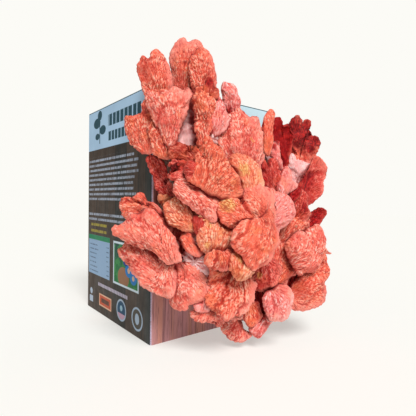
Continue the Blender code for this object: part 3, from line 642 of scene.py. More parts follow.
STEM_FLESH = stem_flesh()
CROWN_WAY = ((-28, 14, 118), (-36, 12, 136), (-40, 11, 152), (-41, 11, 166))
RIGHT_WAY = ((18, 14, 100), (34, 22, 106), (48, 32, 116))
LOW_WAY = ((-14, 16, 74), (-14, 24, 60), (-8, 30, 46))
trunk("trunk_crown", "stems_crown", CROWN_WAY, (9, 8.5, 8, 6), STEM_FLESH)
trunk("trunk_right", "stems_right", RIGHT_WAY, (11, 10, 7), STEM_FLESH)
trunk("trunk_low", "stems_low", LOW_WAY, (11, 10, 7), STEM_FLESH)

# Mushrooms. Each is a cap and a short stem grown as one piece: a felted, ruffled shell of soft
# coral flesh with gills below and fibres fanning out on top. A cap's place is given by its margin
# as seen in a picture from one eye point, and by how deep and how far tipped its sheet is.
EYE = Vector((-195.0, -294.4, 107.1)) * MM
EYE_TURN = math.radians(38.45)
EYE_TIP = math.radians(-1.28)
EYE_ROLL = math.radians(0.82)
EYE_FOCAL = 362.0
EYE_MIDDLE = 208.0
RIM = 2.4 * MM
HEART = 4.6 * MM
STEM = 3.6 * MM
NECK_DROP = 2 * MM
SHORT_STEM = 22 * MM
STEM_REACH = 0.8
STEM_RINGS = 6
NECK_SMOOTHINGS = 5
ROLL = np.radians((150, 122, 95, 65, 32))
LOBE = 8 * MM
FOLD = 26 * MM
SMALL_CAP = 14 * MM
PLEAT = 4.6 * MM
PLEAT_LENGTH = 26 * MM
FURROW = 15 * MM
FURROW_LENGTH = 40 * MM
FIBRE = 1.15 * MM
FIBRE_LENGTH = 4.4 * MM
GILL = 2.6 * MM
FINE_STEP = 0.51 * MM
UNDER_STEP = 2.8 * MM
MARGIN_STEPS = 14
MEASURING_POINTS = 360
FEWEST_COLUMNS = 72
MOST_COLUMNS = 250
RELIEF_SMOOTHINGS = 14
SEEDS = 89

FORWARD = Vector((
    math.sin(EYE_TURN) * math.cos(EYE_TIP),
    math.cos(EYE_TURN) * math.cos(EYE_TIP),
    math.sin(EYE_TIP),
))
LEVEL = Vector((math.cos(EYE_TURN), -math.sin(EYE_TURN), 0))
RIGHT = LEVEL * math.cos(EYE_ROLL) + LEVEL.cross(FORWARD) * math.sin(EYE_ROLL)
UPWARD = RIGHT.cross(FORWARD)
ROOTS = {
    "crown": face_point(-40, 11, 156),
    "middle": face_point(-20, 18, 105),
    "upper": face_point(-8, 14, 132),
    "left": face_point(-44, 12, 84),
    "low": face_point(-18, 20, 66),
    "right": face_point(34, 24, 112),
    "right_low": face_point(24, 22, 76),
}


def felted_flesh(name, gloss, crest, body, fold, pale_rim, patch, gill_colour):
    """Felted cap skin: crests lighter as painted highlight and creases between the fibres darker as
    painted shade, a paler smooth rim, stained patches, deep red spots and nooks of painted shade,
    and gills in their own colour below, darker between them as painted shade."""
    recipe = Recipe(name)
    place = recipe.place()
    crease = recipe.mark("crease")
    rim = recipe.mark("rim")
    gill = recipe.mark("gill")
    foot = recipe.mark("foot")
    stained = recipe.mark("stain")
    shade_spotted = recipe.mark("shade_spot")
    rough = recipe.mark("rough")
    nook = recipe.mark("nook")
    flow = recipe.mark("flow", "Vector")

    fibre_place = recipe.stretch(flow, 1.0, 1.0, 0.3)
    fibre = recipe.noise(fibre_place, 0.72, detail=3.0, roughness=0.65, distortion=0.6)
    grain_place = recipe.stretch(flow, 1.0, 1.0, 0.42)
    grain = recipe.noise(grain_place, 0.95, detail=3.0, roughness=0.6, distortion=0.5)
    stain = recipe.noise(place, 0.075, detail=4.0, roughness=0.6)
    mottle = recipe.noise(place, 0.22, detail=4.0, roughness=0.6)

    # Painted highlight: ridges of the relief take the crest colour, and on rough skin small glints paler
    # still are strewn over the grain.
    glint = [value + (255 - value) * 0.35 for value in crest]
    colour = recipe.blend(recipe.ramp(crease, 0.42, 0.95), body, crest)
    colour = recipe.blend(recipe.ramp(mottle, 0.42, 0.62, 0.0, 0.45), colour, body)
    glinting = recipe.math("MULTIPLY", recipe.ramp(grain, 0.53, 0.63, 0.0, 0.3), rough)
    colour = recipe.blend(glinting, colour, glint)
    colour = recipe.blend(recipe.ramp(stain, 0.52, 0.66, 0.0, 0.6), colour, patch)
    flush = recipe.noise(recipe.stretch(place, 1.0, 1.0, 0.8), 0.058, detail=3.0, roughness=0.55)
    rosy = [0.55 * one + 0.45 * other for one, other in zip(body, fold)]
    colour = recipe.blend(recipe.ramp(flush, 0.5, 0.64, 0.0, 0.55), colour, rosy)
    colour = recipe.blend(recipe.ramp(rim, 0.1, 1.0, 0.0, 0.6), colour, pale_rim)
    # Painted shade: stains and deep red spots are darker in the creases.
    yellow = recipe.blend(recipe.ramp(crease, 0.3, 0.9), (214, 140, 72), (246, 198, 128))
    colour = recipe.blend(recipe.math("MULTIPLY", stained, 0.8), colour, yellow)
    red = recipe.blend(recipe.ramp(crease, 0.3, 0.9), (120, 6, 14), (196, 34, 30))
    # Painted shade: the creases of the relief and the valleys of the fibre and grain noise are darkened to
    # the fold colour, less where the skin is smooth.
    sunk = recipe.ramp(crease, 0.08, 0.42, 0.7, 0.0)
    sunk = recipe.math("MAXIMUM", sunk, recipe.ramp(fibre, 0.36, 0.47, 0.75, 0.0))
    sunk = recipe.math("MAXIMUM", sunk, recipe.ramp(grain, 0.36, 0.46, 0.6, 0.0))
    sunk = recipe.math("MULTIPLY", sunk, recipe.ramp(rough, 0.0, 0.7, 0.15, 1.0))
    colour = recipe.blend(sunk, colour, fold)
    # Painted shade: the gill colour is darker where the gills dip between their ridges.
    between = [value * 0.6 for value in gill_colour]
    gills = recipe.blend(recipe.ramp(crease, 0.1, 0.9), between, gill_colour)
    colour = recipe.blend(gill, colour, gills)
    # Deep red spots at the given picture points, painted in as shade.
    colour = recipe.blend(shade_spotted, colour, red)
    pale_stem = recipe.blend(recipe.ramp(fibre, 0.4, 0.6), (242, 168, 162), (253, 214, 210))
    colour = recipe.blend(foot, colour, pale_stem)
    # Painted shade: skin that other flesh stands close round is darkened to deep red.
    nook_shade = [value * 0.9 for value in fold]
    colour = recipe.blend(recipe.ramp(nook, 0.22, 0.7, 0.0, 0.9), colour, nook_shade)
    recipe.finish(colour, recipe.ramp(mottle, 0.3, 0.7, 0.62, 0.85), specular=gloss)
    fibres = recipe.math("MULTIPLY_ADD", grain, 0.6, fibre)
    recipe.bump(recipe.math("MULTIPLY", fibres, recipe.ramp(rough, 0.0, 0.7, 0.2, 1.0)), 0.8, 0.001)
    recipe.let_light_in(0.1, (1.0, 0.35, 0.25), 0.0015)
    recipe.shader.inputs["Sheen Weight"].default_value = gloss * 0.5
    recipe.shader.inputs["Sheen Roughness"].default_value = 0.5
    recipe.shader.inputs["Sheen Tint"].default_value = (1.0, 0.5, 0.42, 1)
    return recipe.material


# Finishes for the caps. Each row gives a name, a material name, the gloss, and then the colours that
# felted_flesh takes: the crests', which is painted highlight; the body; the folds', which is painted shade
# and also tints the random flush; the pale rim; the stain patches; and the gills.
FLESHES = (
    ("coral", "coral_flesh", 0.3,
     (255, 184, 158), (240, 104, 78), (160, 8, 8), (252, 154, 140), (236, 116, 74), (196, 66, 60)),
    ("peach", "coral_flesh", 0.3,
     (255, 196, 178), (248, 122, 102), (174, 14, 16), (252, 168, 154), (246, 130, 92), (206, 78, 72)),
    ("tan", "coral_flesh", 0.3,
     (255, 184, 152), (238, 102, 72), (150, 8, 4), (250, 152, 124), (232, 124, 72), (190, 60, 52)),
    ("pale", "pale_flesh", 0.3,
     (255, 206, 200), (250, 136, 126), (182, 20, 24), (254, 184, 174), (246, 144, 116), (218, 98, 92)),
    ("red", "coral_flesh", 0.2,
     (246, 134, 118), (204, 60, 50), (124, 0, 6), (250, 148, 130), (214, 78, 50), (164, 32, 34)),
    ("rust", "coral_flesh", 0.2,
     (236, 128, 102), (198, 66, 48), (108, 2, 4), (236, 120, 96), (200, 88, 50), (160, 34, 32)),
    # deep is the flesh darkened as painted shade, for caps that lie deep in shade among the others.
    ("deep", "deep_flesh", 0.12,
     (204, 40, 38), (158, 8, 14), (78, 0, 4), (226, 96, 82), (180, 34, 24), (140, 10, 16)),
    ("ochre", "ochre_flesh", 0.3,
     (255, 204, 172), (246, 138, 102), (186, 36, 20), (255, 190, 158), (240, 150, 88), (206, 88, 66)),
    ("cream", "cream_flesh", 0.3,
     (255, 210, 164), (246, 148, 106), (192, 62, 30), (255, 202, 166), (236, 164, 92), (212, 112, 80)),
    ("stalk", "pale_flesh", 0.3,
     (255, 230, 228), (250, 196, 192), (214, 90, 86), (255, 214, 210), (250, 190, 180), (240, 150, 140)),
)
FINISHES = {name: felted_flesh(name + "_flesh", gloss, *colours) for name, _, gloss, *colours in FLESHES}


def sight(px, py):
    """Step from the eye towards a picture point, one metre deep."""
    across = (px - EYE_MIDDLE) / EYE_FOCAL
    down = (py - EYE_MIDDLE) / EYE_FOCAL
    return FORWARD + RIGHT * across - UPWARD * down


def smooth_loop(points, count):
    """count points evenly spaced round a closed smooth curve, and the length of the curve."""
    knots = np.array([points[-1], *points, points[0], points[1]])
    return evenly(curve(knots, MARGIN_STEPS), count, closed=True)


class Sheet:
    """The sheet of one cap: a plane through its middle that leans by two slopes, the smooth
    margin on that plane, and the crown that rises from it."""

    def __init__(self, margin, depth, slope, crown):
        middle_px = np.mean(np.array(margin, float), axis=0)
        self.middle = EYE + sight(*middle_px) * depth * MM
        self.up = (RIGHT * slope[0] + UPWARD * slope[1] - FORWARD).normalized()
        self.side = (RIGHT - self.up * RIGHT.dot(self.up)).normalized()
        self.other = self.up.cross(self.side)
        flat = [self.flat_of(px, py) for px, py in margin]
        if sum(a[0] * b[1] - a[1] * b[0] for a, b in zip(flat, flat[1:] + flat[:1])) < 0:
            flat.reverse()
        self.corners = flat
        self.crown = crown * MM

    def flat_of(self, px, py):
        """Where on the sheet a picture point is."""
        step = sight(px, py)
        point = EYE + step * ((self.middle - EYE).dot(self.up) / step.dot(self.up))
        offset = point - self.middle
        return (offset.dot(self.side), offset.dot(self.other))

    def set_loop(self, loop):
        angles = np.arctan2(loop[:, 1], loop[:, 0])
        order = np.argsort(angles)
        reaches = np.linalg.norm(loop, axis=1)
        angles = angles[order]
        self.angles = np.concatenate([angles - 2 * math.pi, angles, angles + 2 * math.pi])
        self.reaches = np.tile(reaches[order], 3)

    def height(self, u, v):
        """How far the crown stands over the plane, at places in it."""
        reach = np.interp(np.arctan2(v, u), self.angles, self.reaches)
        return self.crown * (1 - np.clip(np.hypot(u, v) / reach, 0, 1) ** 2)

    def place(self, u, v, lift):
        u, v, lift = np.broadcast_arrays(u, v, lift)
        return (np.array(self.middle) + np.array(self.side) * u[..., None]
                + np.array(self.other) * v[..., None] + np.array(self.up) * lift[..., None])


class Cap:
    """A cap and its stem as rings of points. It is laid out by its margin's lobes and the spokes
    that run from its hub to them, and then its skin is raised."""

    def __init__(self, sheet, hub, ruffle, seed):
        self.sheet = sheet
        self.up = np.array(sheet.up)
        self.ruffle = ruffle
        self.seed = seed
        length = smooth_loop(sheet.corners, MEASURING_POINTS)[1]
        columns = int(np.clip(length / FINE_STEP, FEWEST_COLUMNS, MOST_COLUMNS))
        loop, self.around = smooth_loop(sheet.corners, columns)
        self.turn = np.arange(columns) / columns
        self.lobes = max(4, round(self.around / LOBE))
        loop = loop + self.scallops(loop)
        sheet.set_loop(loop)
        self.hub_u, self.hub_v = sheet.flat_of(*hub)
        self.spokes = loop - (self.hub_u, self.hub_v)
        self.gap = np.linalg.norm(self.spokes, axis=1)
        self.mean_gap = float(self.gap.mean())

    def wave(self, x, y, number, around=0):
        return waves(x, y, around=around, seed=self.seed + number)

    def scallops(self, loop):
        """Steps outwards from a smooth margin to its lobes, nicks and fine frill."""
        outward = np.roll(loop, -1, axis=0) - np.roll(loop, 1, axis=0)
        outward = np.stack([outward[:, 1], -outward[:, 0]], axis=1)
        outward /= np.linalg.norm(outward, axis=1, keepdims=True)
        nicks = 3 * self.lobes
        step = 1.4 * self.wave(self.turn * self.lobes, 0.3, 0, self.lobes)
        step = step + 0.9 * self.wave(self.turn * nicks, 0.7, 0, nicks)
        step = step + 0.45 * self.wave(self.turn * nicks * 3, 0.4, 0, nicks * 3)
        return outward * (step * self.ruffle * MM)[:, None]

    def undulation(self, share):
        """How far the cap waves up and down, most at its margin."""
        folds = max(3, round(self.around / FOLD))
        wave = 2.6 * self.wave(self.turn * folds, 0.2 + 0 * share, 3, folds)
        wave = wave + 1.1 * self.wave(self.turn * self.lobes, 0.6 + 0 * share, 5, self.lobes)
        return wave * self.ruffle * MM * share ** 1.6 * min(1.0, self.mean_gap / SMALL_CAP)

    def ring(self, share, over):
        """Points at a share of the way from hub to margin, so far over the middle of the flesh."""
        u = self.hub_u + share * self.spokes[:, 0]
        v = self.hub_v + share * self.spokes[:, 1]
        return self.sheet.place(u, v, self.sheet.height(u, v) + over + self.undulation(share))

    def stalk(self, root, width):
        """Rings from the foot of the stem up to the underside of the cap."""
        sheet = self.sheet
        hub_height = float(sheet.height(self.hub_u, self.hub_v))
        neck = sheet.place(self.hub_u, self.hub_v, hub_height - HEART - NECK_DROP)
        outwards = (sheet.side * self.hub_u + sheet.other * self.hub_v) / self.mean_gap
        lean = np.array((outwards * 0.4 - sheet.up).normalized())
        self.foot = neck + (ROOTS[root] - neck) * STEM_REACH
        spins = np.unwrap(np.arctan2(self.spokes[:, 1], self.spokes[:, 0]))
        angles = 0.4 * spins + 0.6 * (spins[0] + 2 * math.pi * self.turn)
        length = np.linalg.norm(self.foot - neck)
        bend = neck + lean * length * 0.4
        bent = min(1.0, length / SHORT_STEM)
        rings = []
        for part in np.linspace(1, 0, STEM_RINGS):
            point = self.foot * part ** 2 + bend * 2 * part * (1 - part) + neck * (1 - part) ** 2
            run = (bend - self.foot) * part + (neck - bend) * (1 - part)
            run = run / max(np.linalg.norm(run), 1e-9)
            share = bent * ease(part, 0.0, 0.5)
            rise = self.up * (1 - share) + run * share
            rise = rise / np.linalg.norm(rise)
            across = np.array(sheet.side) - rise * np.dot(sheet.side, rise)
            across = across / np.linalg.norm(across)
            other = np.cross(rise, across)
            bulge = 1 + 0.09 * np.sin(3 * angles + 1 + part) + 0.05 * np.sin(7 * angles + 4 * part)
            size = width * (0.85 + 0.2 * (1 - part) ** 2) * bulge
            ring = point + across * (size * np.cos(angles))[:, None]
            rings.append(ring + other * (size * np.sin(angles))[:, None])
        return np.array(rings)

    def lay_out(self, root, stem):
        """All the rings from the foot of the stem over the underside and the rolled edge to the
        crown, each point's share of the way out, and which of them are top, underside and stem."""
        width = min(STEM * stem, 0.95 * float(self.gap.min()))
        edge = np.clip(RIM / 2 / self.gap, 0.02, 0.45)
        self.rows = max(8, int(self.mean_gap / FINE_STEP * 0.9))
        top_share = [(1 - edge) * part for part in np.linspace(1, 0, self.rows, endpoint=False)]
        top = [self.ring(share, RIM / 2) for share in top_share]
        edges = [self.ring(1 - edge + edge * math.sin(arc), RIM / 2 * math.cos(arc)) for arc in ROLL]
        start = np.minimum(width * 1.25, 0.6 * self.gap) / self.gap
        under_rows = max(4, int(self.mean_gap / UNDER_STEP))
        under_parts = np.linspace(0, 1, under_rows, endpoint=False)
        under_share = [start + (1 - edge - start) * part for part in under_parts]
        under = [self.ring(share, -RIM / 2 - (HEART - RIM) * (1 - share) ** 1.5) for share in under_share]
        grid = np.concatenate([self.stalk(root, width), under, edges])
        low = STEM_RINGS + under_rows
        for _ in range(NECK_SMOOTHINGS):
            grid[2:low - 1] = 0.25 * grid[1:low - 2] + 0.5 * grid[2:low - 1] + 0.25 * grid[3:low]
        self.grid = np.concatenate([grid, top])
        self.tip = top[-1].mean(axis=0) + self.up * 0.2 * MM
        stem_share = np.zeros((STEM_RINGS, len(edge)))
        self.share = np.concatenate([stem_share, under_share, np.ones((len(edges), len(edge))), top_share])
        self.is_top = np.zeros((len(self.grid), 1))
        self.is_top[low + 2:] = 1
        self.is_under = np.zeros((len(self.grid), 1))
        self.is_under[:STEM_RINGS] = np.linspace(0, 1, STEM_RINGS)[:, None] ** 2
        self.is_under[STEM_RINGS:low + 1] = 1
        self.is_foot = np.zeros((len(self.grid), 1))
        self.is_foot[:STEM_RINGS] = np.linspace(1, 0.0, STEM_RINGS)[:, None]
        self.is_foot[STEM_RINGS:STEM_RINGS + 2] = 0.15

    def comb(self, fan):
        """How far and which way each point lies from the point that the fibres run out from."""
        self.x, self.z = self.grid[:, :, 0] / MM, self.grid[:, :, 2] / MM
        self.fan_u, self.fan_v = self.sheet.flat_of(*fan)
        self.over_u = self.hub_u + self.share * self.spokes[:, 0] - self.fan_u
        self.over_v = self.hub_v + self.share * self.spokes[:, 1] - self.fan_v
        self.run = np.hypot(self.over_u, self.over_v)
        self.way = np.arctan2(self.over_v, self.over_u) / (2 * math.pi)
        self.usual = float(self.run[-self.rows:].mean())
        self.out = self.run / self.usual
        self.sway = 0.55 * self.mottle(7, 0) + 0.22 * self.mottle(2.6, 4)

    def mottle(self, size, number):
        """Soft patches of a size in mm all over the skin."""
        return self.wave(self.x / size, self.z / size, number)

    def fibres(self):
        """Ridges that fan out, coarse ones near the middle and fine ones at the margin."""
        cells = max(8, round(2 * math.pi * self.usual * 0.8 / FIBRE))
        step = self.run / FIBRE_LENGTH
        coarse = np.abs(self.wave(self.way * cells + self.sway, step + 0.5 * self.sway, 1, cells))
        fine = np.abs(self.wave(self.way * cells * 2 + 1.6 * self.sway, step * 1.6, 2, cells * 2))
        outer = ease(self.out, 0.7, 1.4)
        return coarse * (1 - 0.5 * outer) + fine * (0.35 + 0.55 * outer)

    def furrows(self):
        """Narrow valleys between the pleats of the outer cap."""
        pleats = max(3, round(self.around / FURROW))
        pleat = self.wave(self.way * pleats + 0.25 * self.sway, self.run / FURROW_LENGTH, 13, pleats)
        return np.exp(-(pleat / 0.09) ** 2) * ease(self.out, 0.25, 0.8)

    def smooth_rim(self, smooth, smooth_side):
        """Where the cap is pale and smooth: a belt inside the margin, on one side of it."""
        side = np.array(smooth_side) / np.linalg.norm(smooth_side)
        toward = (self.spokes[:, 0] * side[0] + self.spokes[:, 1] * side[1]) / self.gap
        return ease(self.share, 0.9 - 0.5 * smooth, 1.05) * ease(toward, -0.2, 0.9)[None]

    def swell(self):
        """Broad folds and lumps of the whole cap, in mm."""
        broad = max(5, round(2 * math.pi * self.usual * 0.85 / PLEAT))
        folded = self.wave(self.way * broad + 0.35 * self.sway, self.run / PLEAT_LENGTH, 17, broad)
        folded = folded * ease(self.out, 0.15, 0.5)
        lumps = self.mottle(9, 9) + 0.4 * self.mottle(4.2, 10)
        return (1.9 * folded + 2.0 * lumps) * ease(self.share * self.mean_gap, 0.3 * MM, 3 * MM)

    def raise_skin(self, felt, smooth, smooth_side):
        """Lift the fibres, furrows and gills out of the smooth shell, and keep how deep in them
        each point lies, how pale it is and how rough."""
        normal = skin_normals(self.grid)
        if np.sum(normal[-self.rows:] * self.up) < 0:
            normal = -normal
        ridges = self.fibres()
        grains = np.abs(self.mottle(1.7, 11))
        patch = ease(self.mottle(13, 7), -0.4, 0.15)
        self.pale = self.smooth_rim(smooth, smooth_side)
        strength = (0.55 + 0.45 * patch) * (1 - 0.65 * self.pale) * (1 - 0.3 * ease(self.share, 0.9, 1.0))
        furrow = self.furrows()
        wrinkles = (ridges * 1.7 + grains * 0.5) * strength * felt - 0.7 * furrow * self.ruffle
        lift = (wrinkles - 0.7 * furrow * self.ruffle) * self.is_top
        gills = max(12, round(self.around / GILL))
        gill_wave = 0.5 + 0.5 * np.cos(2 * math.pi * self.turn * gills)[None] + 0 * self.share
        under_lip = 1 - ease(self.share, 0.7, 0.92)
        lift = lift - gill_wave * self.is_under * 0.6 * under_lip * (1 - self.is_foot)
        self.grid = self.grid + normal * (lift * MM)[:, :, None] + self.up * (self.swell() * MM)[:, :, None]
        soft = wrinkles.copy()
        for _ in range(RELIEF_SMOOTHINGS):
            soft = (soft + np.roll(soft, 1, axis=1) + np.roll(soft, -1, axis=1)) / 3
            soft[1:-1] = (soft[:-2] + soft[1:-1] + soft[2:]) / 3
        relief = np.clip(0.5 + (wrinkles - soft) / 0.6, 0, 1)
        self.crease = np.where(self.is_top > 0, relief, 1 - gill_wave)
        self.rough = np.clip(strength * felt, 0, 1) + 0 * self.share

    def spots(self, places, depth):
        """Soft ragged spots round picture points, each with its radius in the picture."""
        amount = 0 * self.share
        for px, py, radius in places:
            spot_u, spot_v = self.sheet.flat_of(px, py)
            reach = radius * depth * MM / EYE_FOCAL
            apart = np.hypot(self.over_u + self.fan_u - spot_u, self.over_v + self.fan_v - spot_v) / reach
            ragged = 0.5 * self.mottle(2.5, 15)
            amount = np.maximum(amount, ease(1 - apart + ragged, 0, 0.7))
        return amount


CROWD = []


def mushroom(name, finish, root, depth, slope, crown, hub, margin, stem=1.0, fan=None, ruffle=1.0,
             felt=1.0, smooth=1.0, smooth_side=(0.8, -0.4), stains=(), shade_spots=()):
    """One mushroom, cap and stem together.

    depth is how far the cap's middle lies from the eye in mm, slope how much deeper its sheet
    gets to the right and upwards, and crown how far it rises in mm. hub and margin are picture
    points: where the stem meets the cap, and the cap's edge. stem scales the stem's width. fan
    is the picture point that the fibres run out from, ruffle scales the waves of the margin and
    felt the ridges of the skin. The rim is pale and smooth on one side: smooth_side is that way,
    right and up, and smooth how far it reaches in. stains are picture points with a radius each
    where the skin turns yellow; the last argument lists picture points with a radius each where
    deep red is painted in as shade."""
    seed = sum(name.encode()) % SEEDS
    cap = Cap(Sheet(margin, depth, slope, crown), hub, ruffle, seed)
    cap.lay_out(root, stem)
    cap.comb(fan or hub)
    cap.raise_skin(felt, smooth, smooth_side)
    turn = 2 * math.pi * cap.way
    marks = {
        "crease": cap.crease,
        "rough": cap.rough,
        "rim": cap.pale * cap.is_top + 0.4 * ease(cap.share, 0.93, 1.0) * (1 - cap.pale),
        "gill": cap.is_under * (1 - 0.7 * ease(cap.share, 0.8, 0.95)) + 0 * cap.share,
        "stain": cap.spots(stains, depth),
        "shade_spot": cap.spots(shade_spots, depth),
        "foot": cap.is_foot + 0 * cap.share,
        "flow": np.stack([
            np.cos(turn) * cap.usual * 1000,
            np.sin(turn) * cap.usual * 1000,
            cap.run * 1000 + seed * 40,
        ], axis=2),
    }
    piece = skin("cap_" + name, cap.grid, cap.foot, cap.tip, marks, FINISHES[finish])
    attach(piece, "root")
    if "mushroom_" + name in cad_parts:
        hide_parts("mushroom_" + name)
    CROWD.append((piece, cap.grid))


# Centre. The big tan cap and those that lean out from under it: soft thick shells on short
# stems, most from the middle of the base, with small folds and pale threads in their gaps.
mushroom(
    "centre_big", "tan", "middle", 236, (0.25, 0.3), 6, (202, 158),
    [(206, 137), (213, 141), (220, 148), (225, 156), (231, 163), (236, 172), (241, 181),
     (244, 190), (241, 198), (230, 198), (221, 200), (212, 195), (203, 190), (193, 184),
     (187, 178), (188, 170), (194, 162), (197, 152), (201, 143)],
    fan=(196, 205), ruffle=1.19, felt=0.85, smooth=0.26, stains=[(224, 152, 3)],
)
mushroom(
    "centre_lobe", "red", "middle", 233, (0.1, 0.2), 3, (191, 169),
    [(183, 171), (185, 164), (190, 160), (196, 162), (199, 168), (198, 175), (192, 180),
     (186, 179)],
    stem=0.6, fan=(206, 176), ruffle=0.68, felt=0.6,
)
mushroom(
    "centre_round", "coral", "right_low", 232, (0.4, 0.25), 7, (262, 230),
    [(231, 238), (234, 229), (240, 223), (250, 219), (260, 218), (265, 212), (269, 209),
     (273, 214), (275, 225), (278, 236), (276, 250), (272, 260), (262, 267), (255, 270),
     (246, 264), (238, 253), (232, 246)],
    fan=(262, 206), felt=0.75,
)
mushroom(
    "centre_right", "coral", "right_low", 240, (0.4, 0.2), 5, (236, 210),
    [(216, 207), (219, 199), (228, 192), (238, 192), (246, 185), (256, 182), (267, 188),
     (274, 198), (276, 210), (272, 220), (262, 226), (248, 228), (236, 229), (226, 226),
     (220, 220)],
    fan=(262, 232), ruffle=1.19, felt=0.8, smooth=1.27, smooth_side=(0.7, 0.7),
    stains=[(226, 206, 10)],
)
mushroom(
    "centre_slanting", "peach", "middle", 235, (0.2, 0.3), 4, (184, 188),
    [(173, 190), (175, 183), (180, 176), (190, 177), (203, 184), (214, 190), (224, 198),
     (222, 208), (218, 216), (215, 222), (206, 219), (199, 214), (191, 208), (182, 203),
     (176, 197)],
    fan=(162, 176), ruffle=0.8, smooth=0.51,
)
mushroom(
    "centre_orange", "ochre", "middle", 241, (0.1, 0.2), 4, (184, 220),
    [(163, 208), (167, 201), (176, 198), (186, 199), (193, 205), (197, 214), (199, 224),
     (197, 232), (190, 232), (182, 231), (175, 228), (168, 222), (164, 214)],
    fan=(200, 236),
)
mushroom(
    "centre_yellow", "ochre", "middle", 237, (0.3, 0.2), 4, (216, 228),
    [(199, 226), (205, 217), (216, 216), (228, 221), (237, 232), (239, 244), (236, 254),
     (224, 257), (211, 256), (203, 250), (197, 241), (198, 232)],
    fan=(214, 268), ruffle=1.19, stains=[(207, 226, 4), (206, 245, 4)],
)
mushroom(
    "centre_fold", "red", "middle", 236, (0.1, 0.1), 3, (200, 232),
    [(192, 217), (196, 215), (201, 217), (204, 222), (203, 230), (203, 238), (206, 245),
     (200, 243), (196, 234), (193, 226)],
    stem=0.6, fan=(200, 256), ruffle=0.51, felt=0.6, smooth=0.5,
)
mushroom(
    "threads_middle", "cream", "middle", 236, (0.2, 0.2), 2, (206, 220),
    [(198, 217), (204, 212), (213, 214), (217, 221), (212, 227), (203, 226)],
    stem=0.7, felt=0.3,
)
mushroom(
    "centre_small", "coral", "low", 238, (0.1, 0.3), 3, (188, 243),
    [(180, 239), (184, 233), (190, 234), (196, 243), (203, 251), (199, 258), (190, 255),
     (183, 247)],
    stem=0.7, fan=(200, 262), ruffle=0.85, felt=0.55,
)
# A red cap that fills the gap between the left caps and the middle; its darker red is painted shade for that
# gap.
mushroom(
    "left_gap", "red", "left", 249, (0.1, 0.1), -1, (180, 242),
    [(169, 222), (177, 217), (186, 224), (192, 238), (190, 254), (181, 260), (174, 248),
     (170, 234)],
    stem=0.7, fan=(184, 266), felt=0.7,
)
mushroom(
    "centre_low", "coral", "low", 230, (0.3, 0.3), 4, (220, 256),
    [(204, 260), (207, 253), (214, 250), (222, 251), (228, 249), (235, 254), (233, 264),
     (228, 270), (218, 271), (209, 267)],
    fan=(216, 240), ruffle=1.19,
)
mushroom(
    "centre_gold", "ochre", "low", 230, (0.2, 0.3), 3, (240, 265),
    [(228, 262), (231, 252), (240, 248), (250, 256), (255, 268), (250, 279), (238, 280),
     (230, 272)],
    stem=0.7, fan=(238, 292), stains=[(240, 258, 8)],
)
mushroom(
    "left_lobe_upper", "rust", "middle", 241, (0.1, 0.2), 3, (186, 152),
    [(168, 152), (171, 144), (179, 142), (190, 145), (202, 149), (204, 160), (190, 166),
     (173, 162)],
    fan=(206, 172), ruffle=1.5,
)
mushroom(
    "left_lobe_pair", "red", "middle", 239, (0.1, 0.2), 3, (180, 165),
    [(169, 165), (175, 161), (188, 160), (198, 168), (196, 181), (182, 184), (168, 176),
     (173, 170)],
    stem=0.7, fan=(206, 180), ruffle=1.5, felt=0.6, shade_spots=[(194, 172, 7)],
)

# Left flank. Broad fans of one fleshy piece each, one hanging over the other like tiles, and
# smaller ruffled and dark caps above them. Most of their stems leave the base at its left.
mushroom(
    "left_fan", "peach", "left", 236, (-0.05, 0.15), 7, (164, 250),
    [(111, 229), (114, 225), (120, 224), (125, 220), (129, 213), (135, 213), (140, 212),
     (144, 208), (150, 208), (156, 211), (160, 217), (164, 223), (170, 231), (176, 240),
     (179, 250), (182, 260), (177, 263), (170, 265), (164, 262), (158, 256), (148, 250),
     (140, 248), (133, 245), (125, 241), (119, 237), (113, 234)],
    stem=1.3, fan=(178, 276), felt=0.62, smooth=0.68,
)
mushroom(
    "left_lower", "peach", "left", 243, (0.0, 0.25), 6, (154, 268),
    [(118, 252), (121, 246), (128, 240), (140, 242), (152, 246), (164, 254), (172, 264),
     (170, 278), (162, 291), (150, 291), (142, 287), (137, 280), (130, 270), (122, 260)],
    stem=1.2, fan=(180, 292), ruffle=1.19, felt=0.8, smooth=0.51, smooth_side=(-0.6, -0.8),
)
mushroom(
    "left_flap", "peach", "left", 238, (-0.1, 0.2), 3, (162, 276),
    [(156, 262), (164, 255), (174, 262), (177, 276), (176, 290), (173, 299), (163, 297),
     (151, 291), (149, 280), (152, 270)],
    stem=0.8, fan=(170, 256), ruffle=0.85,
)
mushroom(
    "left_hanging", "peach", "low", 241, (-0.35, 0.2), 6, (190, 268),
    [(169, 268), (174, 264), (183, 262), (190, 258), (196, 262), (200, 269), (205, 276),
     (209, 286), (209, 297), (206, 302), (198, 304), (190, 305), (186, 310), (176, 310),
     (170, 304), (170, 296), (168, 285)],
    stem=1.2, fan=(172, 252), felt=0.75, smooth=0.9, smooth_side=(0.9, -0.2),
)
mushroom(
    "low_tab", "pale", "low", 239, (0.1, 0.2), 2, (202, 306),
    [(193, 304), (199, 301), (206, 299), (211, 305), (208, 313), (200, 313), (194, 309)],
    stem=0.6, fan=(206, 290), ruffle=0.85, felt=0.5,
)
mushroom(
    "threads_low", "stalk", "low", 243, (0.1, 0.2), 3, (194, 263),
    [(182, 255), (190, 250), (202, 252), (209, 262), (209, 273), (200, 275), (190, 268)],
    stem=0.8, felt=0.8,
)
mushroom(
    "left_ruffled", "coral", "left", 247, (0.0, 0.15), 4, (150, 208),
    [(118, 206), (120, 198), (127, 196), (133, 198), (137, 194), (142, 193), (146, 200),
     (153, 203), (160, 208), (166, 217), (172, 230), (164, 234), (150, 226), (140, 222),
     (130, 219), (122, 213)],
    fan=(172, 226), ruffle=1.19, felt=0.65, shade_spots=[(163, 215, 5)],
)
